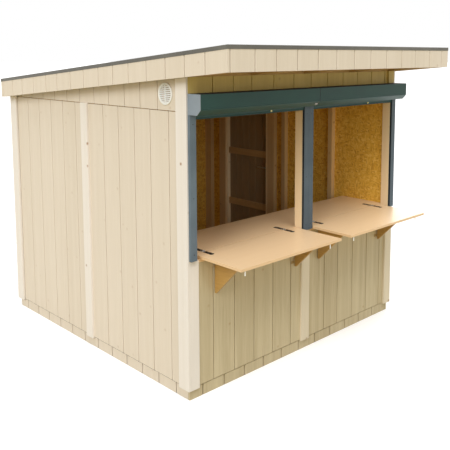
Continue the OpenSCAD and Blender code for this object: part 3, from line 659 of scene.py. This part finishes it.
# the roof boards lie inside the fascia, and show V-grooves on their underside
DECK_LEFT, DECK_RIGHT = EAVES_LEFT + BOARD, EAVES_RIGHT - BOARD
DECK_FRONT, DECK_BACK = EAVES_FRONT + BOARD, EAVES_BACK - BOARD
FIRST_JOINT, DECK_BOARD, JOINT_HALF = -360, 96, 2
deck = block("roof_deck_boards", (DECK_LEFT, DECK_FRONT, 2000), (DECK_RIGHT, DECK_BACK, 2450))
above_roof_line(under_roof(deck, 4.1), 22.1)
start_edit(deck)
for y in range(FIRST_JOINT, 2500, DECK_BOARD):
    for step in (-JOINT_HALF, JOINT_HALF):
        bpy.ops.mesh.select_all(action="SELECT")
        bpy.ops.mesh.bisect(plane_co=at(0, y + step, 0), plane_no=(0, 1, 0))
end_edit()


def on_joint(co):
    past = (co.y * 1000 + MIDDLE_Y - FIRST_JOINT) % DECK_BOARD
    return past < 1.5 or past > DECK_BOARD - 1.5


start_edit(deck, "FACE")
select(deck, "FACE", on_joint)
mesh = bmesh.from_edit_mesh(deck.data)
for face in mesh.faces:
    if face.select and face.normal.z > -0.5:
        face.select = False
bmesh.update_edit_mesh(deck.data)
bpy.ops.mesh.inset(thickness=0.0004)
bpy.ops.transform.translate(value=(0, 0, 0.004))
end_edit()
use(deck, ROOF_DECK, "hut", "header", "roof_boarding", smooth=False)

FRONT_FASCIA_LINES = [-48, 159, 352, 550, 758, 958, 1161, 1361, 1563, 1770, 1966, 2179, 2372]
SIDE_FASCIA_LINES = [-270, -72, 123, 331, 541, 734, 926, 1132, 1326, 1536, 1718, 1935, 2140, 2322, 2510]


def fascia(name, node, low, high, along, lines, axis, outside):
    """Short upright boards along one edge of the roof."""
    piece = under_roof(block(name, low, high), 4.2)
    above_roof_line(piece, FASCIA_DEPTH)
    face = high[axis] if outside > 0 else low[axis]
    groove(piece, along, lines, axis, face, -outside)
    return use(piece, CLADDING, "hut", "cladding", node, smooth=False)


fascia("front_fascia_boards", "fascia_front", (EAVES_LEFT, EAVES_FRONT, 2200),
       (EAVES_RIGHT, DECK_FRONT, 2450), ALONG_X, FRONT_FASCIA_LINES, 1, -1)
fascia("back_fascia_boards", "fascia_back", (EAVES_LEFT, DECK_BACK, 1900),
       (EAVES_RIGHT, EAVES_BACK, 2200), ALONG_X, FRONT_FASCIA_LINES, 1, 1)
fascia("left_fascia_boards", "fascia_left", (EAVES_LEFT, DECK_FRONT + 0.5, 1900),
       (DECK_LEFT, DECK_BACK - 0.5, 2450), ALONG_Y, SIDE_FASCIA_LINES, 0, -1)
fascia("right_fascia_boards", "fascia_right", (DECK_RIGHT, DECK_FRONT + 0.5, 1900),
       (EAVES_RIGHT, DECK_BACK - 0.5, 2450), ALONG_Y, SIDE_FASCIA_LINES, 0, 1)

# ---------------------------------------------------------------- roller shutters
BOX_SPANS = {"left": (15, 1196.75), "right": (1203.25, 2385)}
STEP_LOW, STEP_HIGH = BOX_LOW + 42, BOX_LOW + 45      # the fine step on the case's front


def shutter_case(name, x0, x1):
    """The case's section: flat top, front and back, with its lower front corner cut off."""
    case = block(name, (x0, BOX_FRONT, BOX_LOW), (x1, 16, BOX_HIGH))
    edge_y, edge_z = at(0, BOX_FRONT, 0).y, BOX_LOW / 1000
    start_edit(case, "EDGE")
    select(case, "EDGE", lambda co: abs(co.y - edge_y) < 1e-4 and abs(co.z - edge_z) < 1e-4)
    bpy.ops.mesh.bevel(offset=0.036, offset_type="OFFSET", segments=1)
    end_edit()
    return case


for side, (x0, x1) in BOX_SPANS.items():
    case = shutter_case(f"{side}_shutter_case", x0, x1)
    # the case's outer end stops at the corner trim
    notch_x = (x0 - 5, 16.6) if side == "left" else (2383.4, x1 + 5)
    cut(case, block("notch", (notch_x[0], -0.5, BOX_LOW - 5), (notch_x[1], 20, BOX_HIGH + 5)))
    # the lower cover is a separate sheet: a fine step runs along the case under its front edge
    start_edit(case)
    for z in (STEP_LOW, STEP_HIGH):
        bpy.ops.mesh.select_all(action="SELECT")
        bpy.ops.mesh.bisect(plane_co=at(0, 0, z), plane_no=(0, 0, 1))
    end_edit()
    start_edit(case, "FACE")
    front = at(0, BOX_FRONT, 0).y
    select(case, "FACE", lambda co: abs(co.y - front) < 1e-4 and STEP_LOW < co.z * 1000 < STEP_HIGH)
    bpy.ops.mesh.extrude_region_move(TRANSFORM_OT_translate={"value": (0, 0.0015, 0)})
    end_edit()
    use(soften(case, 1.0), SHUTTER_GREEN, "hut", "shutter_case", f"shutter_box_{side}")

# the catch that holds the two cases' covers together, on the sloping face by the joint
catch = block("cover_catch", (1160, BOX_FRONT + 15, BOX_LOW + 12), (1188, BOX_FRONT + 18, BOX_LOW + 24))
start_edit(catch)
bpy.ops.mesh.select_all(action="SELECT")
bpy.ops.transform.rotate(value=math.radians(-45), orient_axis="X")
end_edit()
use(soften(catch, 1.2), ZINC, "hut", "handle")

caps = []
for x0, outermost in ((12, True), (1196.75, False), (1200.25, False), (2385, True)):
    cap = shutter_case("cap", x0, x0 + 3)
    if outermost:
        slice_off(cap, (0, -0.5, 0), (0, 1, 0))
    caps.append(soften(cap, 0.8))
# the end plates at the joint are drawn near black: painted shade in the gap between the cases
use(join("middle_end_plates", caps[1:3]), JOINT_SHADE_GREEN, "hut", "shutter_cap")
use(join("shutter_end_plates", [caps[0], caps[3]]), CAP_GREY, "hut", "shutter_cap", "shutter_end_caps")
for side, x, out in (("left", 12.2, -1), ("right", 2387.8, 1)):
    screws(f"end_plate_rivets_{side}", [(x, y, z) for y in (-112, -30) for z in (2012, 2085)], 0, out, "hut",
           "handle", radius=3.5, stand=0.18)

# near-black sheets on top of the cases: painted shade for the dark tops of the cases under the roof
sheets = [block("sheet", (x0 + 2, BOX_FRONT + 2, BOX_HIGH), (x1 - 2, -1, BOX_HIGH + 0.8))
          for x0, x1 in BOX_SPANS.values()]
use(join("shutter_case_top_shade_strips", sheets), RUBBER_AND_SHADE, "hut", "hinge", smooth=False)

# guide rails: a channel whose slot faces the opening, with a brush along it
RAIL_LOW, RAIL_HIGH = 985, 1962.5
RAIL_WIDE, RAIL_FRONT = 53, -22
rails, brushes = [], []
for x0, inward in ((12, 1), (1146.75, -1), (1200.25, 1), (2335, -1)):
    rail = block("rail", (x0, RAIL_FRONT, RAIL_LOW), (x0 + RAIL_WIDE, -0.5, RAIL_HIGH))
    face = x0 + RAIL_WIDE if inward > 0 else x0
    slot_low, slot_high = sorted((face - 38 * inward, face + 2 * inward))
    cut(rail, block("slot", (slot_low, -17, RAIL_LOW - 5), (slot_high, -5, RAIL_HIGH + 5)))
    rails.append(soften(rail, 0.8))
    brush_low, brush_high = sorted((face - 9 * inward, face - 1 * inward))
    for y0 in (-17, -7.5):
        brush = block("brush", (brush_low, y0, RAIL_LOW), (brush_high, y0 + 2.5, RAIL_HIGH - 0.5))
        brushes.append(soften(brush, 0.5))
# the left rail takes the copy with painted light, the other three take the copy with painted shade
use(join("left_guide_rail_channel", rails[:1]), LEFT_RAIL_LIT_GREY, "hut", "rail")
use(join("guide_rail_channels", rails[1:]), RAIL_SHADED_GREY, "hut", "rail", "guide_rails")
use(join("guide_rail_brushes", brushes), BRUSH, "hut", "hinge")
screws("guide_rail_screws", [(x, RAIL_FRONT, z) for x in (38.5, 1173, 1227, 2361.5)
                             for z in (1030, 1410, 1900)],
       1, -1, "hut", "handle", BLACK_STEEL, radius=4, stand=0.2)

# the curtains are wound up: only their end bars show, each with a sunk band and a rubber seal
BAR_LOW, BAR_FRONT, BAR_BACK = 1931, -15.5, -6.5
SUNK_LOW, SUNK_HIGH = BAR_LOW + 7, BAR_LOW + 19
slats, seals = [], []
for x0, x1 in ((45, 1167), (1233, 2355)):
    slat = block("slat", (x0, BAR_FRONT, BAR_LOW), (x1, BAR_BACK, RAIL_HIGH))
    start_edit(slat)
    for z in (SUNK_LOW, SUNK_HIGH):
        bpy.ops.mesh.select_all(action="SELECT")
        bpy.ops.mesh.bisect(plane_co=at(0, 0, z), plane_no=(0, 0, 1))
    end_edit()
    start_edit(slat, "FACE")
    front = at(0, BAR_FRONT, 0).y
    select(slat, "FACE", lambda co: abs(co.y - front) < 1e-4 and SUNK_LOW < co.z * 1000 < SUNK_HIGH)
    bpy.ops.mesh.inset(thickness=0.001)
    bpy.ops.transform.translate(value=(0, 0.001, 0))
    end_edit()
    slats.append(soften(slat, 0.7))
    seal = block("seal", (x0 + 22, BAR_FRONT + 2, BAR_LOW - 2), (x1 - 22, BAR_BACK - 2, BAR_LOW))
    seals.append(soften(seal, 0.6))
use(join("shutter_end_bars", slats), SHUTTER_GREEN, "hut", "slat", "shutter_end_slats")
use(join("end_bar_seals", seals), RUBBER_AND_SHADE, "hut", "hinge")

STUD_LONG = 5
lock_studs = []
for x in (781, 1972):
    stud = rod("stud", (x, BAR_FRONT - 1.5, 1944), 7, STUD_LONG, ALONG_Y, 24)
    start_edit(stud, "FACE")
    nose = at(0, BAR_FRONT - 1.5 - STUD_LONG / 2, 0).y
    select(stud, "FACE", lambda co: abs(co.y - nose) < 1e-4)
    bpy.ops.mesh.inset(thickness=0.003)
    bpy.ops.transform.translate(value=(0, 0.002, 0))
    end_edit()
    lock_studs.append(soften(stud, 0.6))
use(join("end_bar_lock_studs", lock_studs), BRASS, "hut", "handle")

# ---------------------------------------------------------------- counters
FLAP_FRONT, FLAP_BACK, FLAP_LOW, FLAP_WIDE = -397, 74, 982, 1030
BAND = 1.2


def edged_board(name, band_name, low, high, material, body, slot, *nodes):
    """A faced board with a thin band glued round its edges."""
    inner_low = (low[0] + BAND, low[1] + BAND, low[2])
    inner_high = (high[0] - BAND, high[1] - BAND, high[2])
    use(block(name, inner_low, inner_high), material, body, slot, *nodes, smooth=False)
    band = block(band_name, low, high)
    start_edit(band, "FACE")
    select(band, "FACE", lambda co: co.z * 1000 < low[2] + 0.5 or co.z * 1000 > high[2] - 0.5)
    bpy.ops.mesh.delete(type="FACE")
    end_edit()
    pick_only(band)
    thicken = band.modifiers.new("thickness", "SOLIDIFY")
    thicken.thickness = BAND * 0.98 / 1000
    thicken.offset = -1
    thicken.use_even_offset = True
    bpy.ops.object.modifier_apply(modifier=thicken.name)
    return use(soften(band, 0.35, 2), EDGE_BAND, body, slot)


FLAPS = {"left": 111, "right": 1259}
for side, x0 in FLAPS.items():
    edged_board(f"{side}_flap_board", f"{side}_flap_edge_band", (x0, FLAP_FRONT, FLAP_LOW),
                (x0 + FLAP_WIDE, FLAP_BACK, COUNTER), COUNTER_TOP, f"{side}_flap", "laminate", f"flap_{side}")
edged_board("inner_counter_board", "inner_counter_edge_band", (43.6, 79, FLAP_LOW), (2356.4, 530, COUNTER),
            COUNTER_TOP, "hut", "counter", "inner_counter")

# short pale pins under the flaps' front edges
PIN_LONG = 34
for side, x0 in FLAPS.items():
    pins = []
    for x in (40, 905):
        pin = rod("pin", (x0 + x, FLAP_FRONT + 8, FLAP_LOW + 1 - PIN_LONG / 2), 4, PIN_LONG, ALONG_Z, 16)
        pins.append(soften(pin, 0.8))
    use(join(f"{side}_flap_pins", pins), WHITE_PLASTIC, f"{side}_flap", "handle")

# flap hinges: each reaches 100 mm either side of its pin, with three knuckles and four screws a leaf
HINGE_Y, HINGE_Z, KNUCKLE, LEAF = 76.5, 1003.5, 3.5, 2.5
HINGE_REACH, LEAF_HALF = 100, 15
HINGE_STARTS = {"left": 90, "right": 118}
HINGE_PITCH = 825
HINGE_SCREWS = ((-7, 22), (7, 40), (-7, 62), (7, 86))     # across and along a leaf, from the pin


def hinge_leaf(middle, far, near, knuckles):
    """One leaf, and apart from it its knuckles with the bare steel tongues that they are rolled from."""
    near += 12 if far > near else -12
    leaf = block("leaf", (middle - LEAF_HALF, min(far, near), COUNTER),
                 (middle + LEAF_HALF, max(far, near), COUNTER + LEAF))
    start_edit(leaf, "EDGE")
    end = at(0, far, 0).y
    select(leaf, "EDGE", lambda co: abs(co.y - end) < 1e-4 and abs(co.z - (COUNTER + LEAF / 2) / 1000) < 1e-4)
    bpy.ops.mesh.bevel(offset=0.005, segments=4)
    end_edit()
    rolled = []
    for x0, x1 in knuckles:
        rolled.append(soften(rod("knuckle", (middle + (x0 + x1) / 2, HINGE_Y, HINGE_Z), KNUCKLE, x1 - x0,
                                 ALONG_X, 24), 0.4))
        rolled.append(block("tongue", (middle + x0, min(near, HINGE_Y), COUNTER),
                            (middle + x1, max(near, HINGE_Y), COUNTER + LEAF * 0.9)))
    return soften(leaf, 0.4), rolled


fixed_leaves, fixed_knuckles, hinge_heads = [], [], []
for side, x0 in FLAPS.items():
    middles = [x0 + HINGE_STARTS[side], x0 + HINGE_STARTS[side] + HINGE_PITCH]
    moving, moving_knuckles = [], []
    for middle in middles:
        leaf, rolled = hinge_leaf(middle, HINGE_Y + HINGE_REACH, 81, ((-15, -5.3), (5, 14.7)))
        fixed_leaves.append(leaf)
        fixed_knuckles += rolled
        leaf, rolled = hinge_leaf(middle, HINGE_Y - HINGE_REACH, 72, ((-4.7, 4.4),))
        moving.append(leaf)
        moving_knuckles += rolled
        hinge_heads += [(middle + dx, HINGE_Y + dy, COUNTER + LEAF) for dx, dy in HINGE_SCREWS]
    body = f"{side}_flap"
    use(join(f"{side}_flap_hinge_leaves", moving), BLACK_STEEL, body, "hinge", f"flap_{side}_hinges")
    use(join(f"{side}_flap_hinge_knuckles", moving_knuckles), ZINC, body, "hinge")
    flap_heads = [(middle + dx, HINGE_Y - dy, COUNTER + LEAF)
                  for middle in middles for dx, dy in HINGE_SCREWS]
    screws(f"{side}_flap_hinge_screws", flap_heads, 2, 1, body, "hinge", ZINC, radius=5.4, stand=0.35)
use(join("counter_hinge_leaves", fixed_leaves), BLACK_STEEL, "hut", "hinge", "counter_hinges")
use(join("counter_hinge_knuckles", fixed_knuckles), ZINC, "hut", "hinge")
screws("counter_hinge_screws", hinge_heads, 2, 1, "hut", "hinge", ZINC, radius=5.4, stand=0.35)

# ---------------------------------------------------------------- brackets
BRACKET_LEG, BRACKET_THICK, TIP, BRACKET_BACK = 268, 18, 14, 10
ORDER = ("first", "second", "third", "fourth")
BRACKETS = [FLAPS["left"] + 135, FLAPS["left"] + 968, FLAPS["right"] + 100, FLAPS["right"] + 933]
FOLDS = (1, -1, 1, -1)
HINGE_ROWS = (SILL - BRACKET_LEG + 24, SILL - 84)
BARREL, BARREL_LONG = 3.5, 22
for number, (x, fold) in enumerate(zip(BRACKETS, FOLDS)):
    body = f"{ORDER[number]}_bracket"
    plate = block(f"{ORDER[number]}_bracket_board", (x, BRACKET_BACK - BRACKET_LEG, SILL - BRACKET_LEG),
                  (x + BRACKET_THICK, BRACKET_BACK, SILL))
    slice_off(plate, (x, BRACKET_BACK - BRACKET_LEG, SILL - TIP), (0, -1, -1))
    soften(plate, 1.5, 3)
    use(plate, PLYWOOD, body, "plywood", f"bracket_{number + 1}")
    axis_x = x + BRACKET_THICK + 4.5 if fold > 0 else x - 4.5
    face = x + BRACKET_THICK if fold > 0 else x
    parts = []
    for row in HINGE_ROWS:
        low = row + BARREL_LONG + 0.5
        barrel = rod("barrel", (axis_x, 8, low + BARREL_LONG / 2), BARREL, BARREL_LONG, ALONG_Z, 20)
        parts.append(soften(barrel, 0.4))
        parts.append(block("lug", (min(face, axis_x), 4.6, low), (max(face, axis_x), 7, low + BARREL_LONG)))
    use(join(f"{ORDER[number]}_bracket_barrels", parts), BRONZE, body, "hinge")

# ---------------------------------------------------------------- vent
ring = rod("vent_rings", (12, VENT_Y, VENT_Z), VENT_RING, 8, ALONG_X, 64)
cut(ring, rod("mouth", (12, VENT_Y, VENT_Z), VENT_MOUTH, 20, ALONG_X, 64))
vent = [soften(ring, 2.2, 3)]
LOUVRE_OUT = 9.3
for n in range(-4, 5):
    drop = n * 13.2
    half, middle = math.sqrt((VENT_MOUTH + 1) ** 2 - drop ** 2), VENT_Z + drop
    louvre = block("louvre", (LOUVRE_OUT, VENT_Y - half, middle - 3.4), (14.6, VENT_Y + half, middle + 3.4))
    # each louvre's outer edge hangs lower than its inner edge, to shed rain
    start_edit(louvre)
    outer = at(LOUVRE_OUT, 0, 0).x
    select(louvre, "VERT", lambda co: abs(co.x - outer) < 1e-4)
    bpy.ops.transform.translate(value=(0, 0, -0.003))
    end_edit()
    vent.append(soften(louvre, 0.6))
rib = block("rib", (8.6, VENT_Y - 3.5, VENT_Z - 62.5), (14.8, VENT_Y + 3.5, VENT_Z + 62.5))
vent.append(soften(rib, 0.8))
use(join("vent_louvres", vent), WHITE_PLASTIC, "hut", "vent", "vent_grille")

# ---------------------------------------------------------------- door
LEAF_START, LEAF_END, LEAF_FOOT, LEAF_HEAD = 1518, 2125, 105, 1895
LEAF_MIDDLE = 2375        # between the door's outer and inner boards
CASING_START, CASING_END, CASING_HEAD = 1430, 2210, 1910
casing = [
    soften(block("casing", low, high), 1.2)
    for low, high in (
        ((OUT_RIGHT, CASING_START, 76), (WIDTH, 1500, CASING_HEAD)),
        ((OUT_RIGHT, 2140, 76), (WIDTH, CASING_END, CASING_HEAD)),
        ((OUT_RIGHT, CASING_START, CASING_HEAD + 0.5), (WIDTH, CASING_END, PANEL_TOP - 1)),
    )
]
use(join("door_casing_boards", casing), TRIM_UPRIGHT, "hut", "trim", "door_trim")

door_lines = [LEAF_START + 101.2 * n for n in range(1, 6)]
outer_boards = block("door_boards", (LEAF_MIDDLE, LEAF_START, LEAF_FOOT), (OUT_RIGHT, LEAF_END, LEAF_HEAD))
groove(outer_boards, ALONG_Y, door_lines, 0, OUT_RIGHT, -1, deep=4)
use(outer_boards, CLADDING, "door", "cladding", "door_leaf", smooth=False)
# the door's inner boards are drawn dark brown: painted shade inside the hut
inner_boards = block("door_inner_boards", (IN_RIGHT, LEAF_START, LEAF_FOOT),
                     (LEAF_MIDDLE, LEAF_END, LEAF_HEAD))
groove(inner_boards, ALONG_Y, door_lines, 0, IN_RIGHT, 1, deep=3)
use(inner_boards, INNER_DOOR_SHADED, "door", "framing", smooth=False)
ledges = [soften(block("ledge", (IN_RIGHT - 22, LEAF_START, z), (IN_RIGHT, LEAF_END, z + 70)), 3, 2)
          for z in (120, 677, 1252, 1810)]
use(join("door_ledges", ledges), BEAM_Y, "door", "framing")

# strap hinges: a strap on the door rises over the casing to an eye, which turns on a pin in the casing
STRAPS, STRAP_HIGH, STRAP_END = (300, 1650), 36, 1745
EYE_Y, EYE_RADIUS = 2131, 6
straps, bolts = [], []
for z in STRAPS:
    top = z + STRAP_HIGH
    strap = block("strap", (OUT_RIGHT, STRAP_END, z), (OUT_RIGHT + 3, LEAF_END, top))
    start_edit(strap, "EDGE")
    end = at(OUT_RIGHT + 1.5, STRAP_END, 0)
    select(strap, "EDGE", lambda co: abs(co.y - end.y) < 1e-4 and abs(co.x - end.x) < 1e-4)
    bpy.ops.mesh.bevel(offset=0.016, segments=6)
    end_edit()
    straps.append(soften(strap, 0.5))
    straps.append(soften(block("riser", (OUT_RIGHT, 2117, z), (WIDTH, LEAF_END, top)), 0.8))
    straps.append(soften(block("arm", (2394, 2123, z), (WIDTH, EYE_Y, top)), 0.8))
    eye = rod("eye", (WIDTH, EYE_Y, z + STRAP_HIGH / 2), EYE_RADIUS, STRAP_HIGH, ALONG_Z, 28)
    straps.append(soften(eye, 0.6))
    bolts += [(OUT_RIGHT + 3, y, z + STRAP_HIGH / 2) for y in (1768, 1850, 1960, 2070)]
use(join("door_strap_hinges", straps), IRON, "door", "ironwork", "door_straps")
screws("door_strap_bolts", bolts, 0, 1, "door", "ironwork", IRON, radius=6, stand=2)
pins, plate_face = [], WIDTH + 3
for z in STRAPS:
    pins.append(soften(rod("pin", (WIDTH, EYE_Y, z - 20.25), EYE_RADIUS, 39.5, ALONG_Z, 28), 0.6))
    pins.append(soften(block("pin_arm", (WIDTH, EYE_Y, z - 40), (plate_face, 2141, z - 0.5)), 0.5))
    pins.append(soften(block("pin_plate", (WIDTH, 2140, z - 40), (plate_face, 2185, z - 0.5)), 0.8))
use(join("door_pintle_plates", pins), IRON, "hut", "ironwork", "door_pintles")
screws("door_pintle_screws", [(plate_face, y, z - 20) for z in STRAPS for y in (2153, 2172)], 0, 1, "hut",
       "ironwork", IRON, radius=4.5, stand=0.5)

# a lever handle on a long plate, with a keyhole, on both faces of the door
HANDLE_Y, HANDLE_Z = 1550, 1150
PLATE_HALF, PLATE_LOW, PLATE_HIGH = 18, HANDLE_Z - 110, HANDLE_Z + 60
plate_y, plate_low, plate_high = at(0, HANDLE_Y, 0).y, PLATE_LOW / 1000, PLATE_HIGH / 1000


def plate_corner(co):
    """The four edges that run through the plate, whose ends are then rounded."""
    at_end = abs(co.z - plate_low) < 1e-4 or abs(co.z - plate_high) < 1e-4
    return at_end and abs(abs(co.y - plate_y) - PLATE_HALF / 1000) < 1e-4


handle, keyholes = [], []
for face, out in ((OUT_RIGHT, 1), (IN_RIGHT, -1)):
    near, far = sorted((face, face + out * 4))
    plate = block("handle_plate", (near, HANDLE_Y - PLATE_HALF, PLATE_LOW),
                  (far, HANDLE_Y + PLATE_HALF, PLATE_HIGH))
    start_edit(plate, "EDGE")
    select(plate, "EDGE", plate_corner)
    bpy.ops.mesh.bevel(offset=0.014, segments=6)
    end_edit()
    handle.append(soften(plate, 0.8))
    handle.append(soften(rod("neck", (face + out * 20, HANDLE_Y, HANDLE_Z), 8, 40, ALONG_X, 28), 1))
    lever = rod("lever", (face + out * 33, HANDLE_Y + 54, HANDLE_Z), 8, 118, ALONG_Y, 28)
    handle.append(soften(lever, 3, 3))
    keyholes.append(rod("keyhole", (face + out * 4, HANDLE_Y, HANDLE_Z - 75), 4.5, 0.5, ALONG_X, 20))
use(join("door_lever_handle", handle), ALUMINIUM, "door", "handle", "door_handle")
use(join("door_keyholes", keyholes), BLACK_STEEL, "door", "hinge")

# ---------------------------------------------------------------- floor, light and camera
scene = bpy.context.scene


def seen_directly(tree):
    """1 for rays from the camera, from gloss and through glass, 0 for the rest."""
    paths = add(tree, "LightPath").outputs
    seen = add(tree, "Math", {0: paths["Is Camera Ray"], 1: paths["Is Glossy Ray"]},
               operation="MAXIMUM").outputs[0]
    return add(tree, "Math", {0: seen, 1: paths["Is Transmission Ray"]}, operation="MAXIMUM").outputs[0]


def studio_floor():
    """A white floor that throws warm light back up at the hut."""
    bpy.ops.object.select_all(action="DESELECT")
    bpy.ops.mesh.primitive_plane_add(size=400, location=(0, 0, -0.001))
    floor = bpy.context.object
    floor.name = "studio_floor"
    material, tree, _ = new_material("white studio floor")
    bounced = add(tree, "BsdfDiffuse", {"Color": (0.42, 0.365, 0.19, 1)}).outputs[0]
    white = add(tree, "BsdfDiffuse", {"Color": (0.86, 0.86, 0.86, 1)}).outputs[0]
    glow = add(tree, "Emission", {"Color": (1, 1, 1, 1), "Strength": 0.2}).outputs[0]
    shown = add(tree, "AddShader", {0: white, 1: glow}).outputs[0]
    mixed = add(tree, "MixShader", {0: seen_directly(tree), 1: bounced, 2: shown}).outputs[0]
    add(tree, "OutputMaterial", {"Surface": mixed})
    floor.data.materials.append(material)


def studio_world():
    """An even white surround, which lights the hut less than it shows."""
    world = bpy.data.worlds.new("studio")
    scene.world = world
    world.use_nodes = True
    sky = world.node_tree
    sky.nodes.clear()
    strength = add(sky, "MapRange", {"Value": seen_directly(sky), "To Min": 0.42, "To Max": 1.0}).outputs[0]
    background = add(sky, "Background", {"Color": (1, 1, 1, 1), "Strength": strength})
    add(sky, "OutputWorld", {"Surface": background.outputs[0]})


studio_floor()
studio_world()

# a broad, soft light from the left, others from high and low in front, and a weaker one from behind
for light_name, towards, power in (
    ("soft_key", (-0.80, -0.25, 0.55), 1.68), ("soft_front", (-0.12, -0.42, 0.90), 1.7),
    ("soft_low", (-0.45, -0.85, 0.28), 0.4), ("soft_rear", (0.75, 0.45, 0.48), 1.1),
):
    light_data = bpy.data.lights.new(light_name, "SUN")
    light_data.energy, light_data.angle = power, math.radians(34)
    light = bpy.data.objects.new(light_name, light_data)
    scene.collection.objects.link(light)
    light.rotation_euler = Vector(towards).to_track_quat("Z", "Y").to_euler()

YAW, PITCH, ROLL = 44.651, 6.651, -0.030          # degrees
camera_data = bpy.data.cameras.new("camera")
camera_data.sensor_width = 36
camera_data.lens = 53.243
camera_data.shift_x, camera_data.shift_y = -0.055, -0.205
camera = bpy.data.objects.new("camera", camera_data)
scene.collection.objects.link(camera)
camera.location = at(-2714.3, -3332.3, 2347.2)
turn = Matrix.Rotation(math.radians(-YAW), 4, "Z") @ Matrix.Rotation(math.radians(90 - PITCH), 4, "X")
camera.rotation_euler = (turn @ Matrix.Rotation(math.radians(ROLL), 4, "Z")).to_euler()
scene.camera = camera
scene.view_settings.view_transform = "Standard"
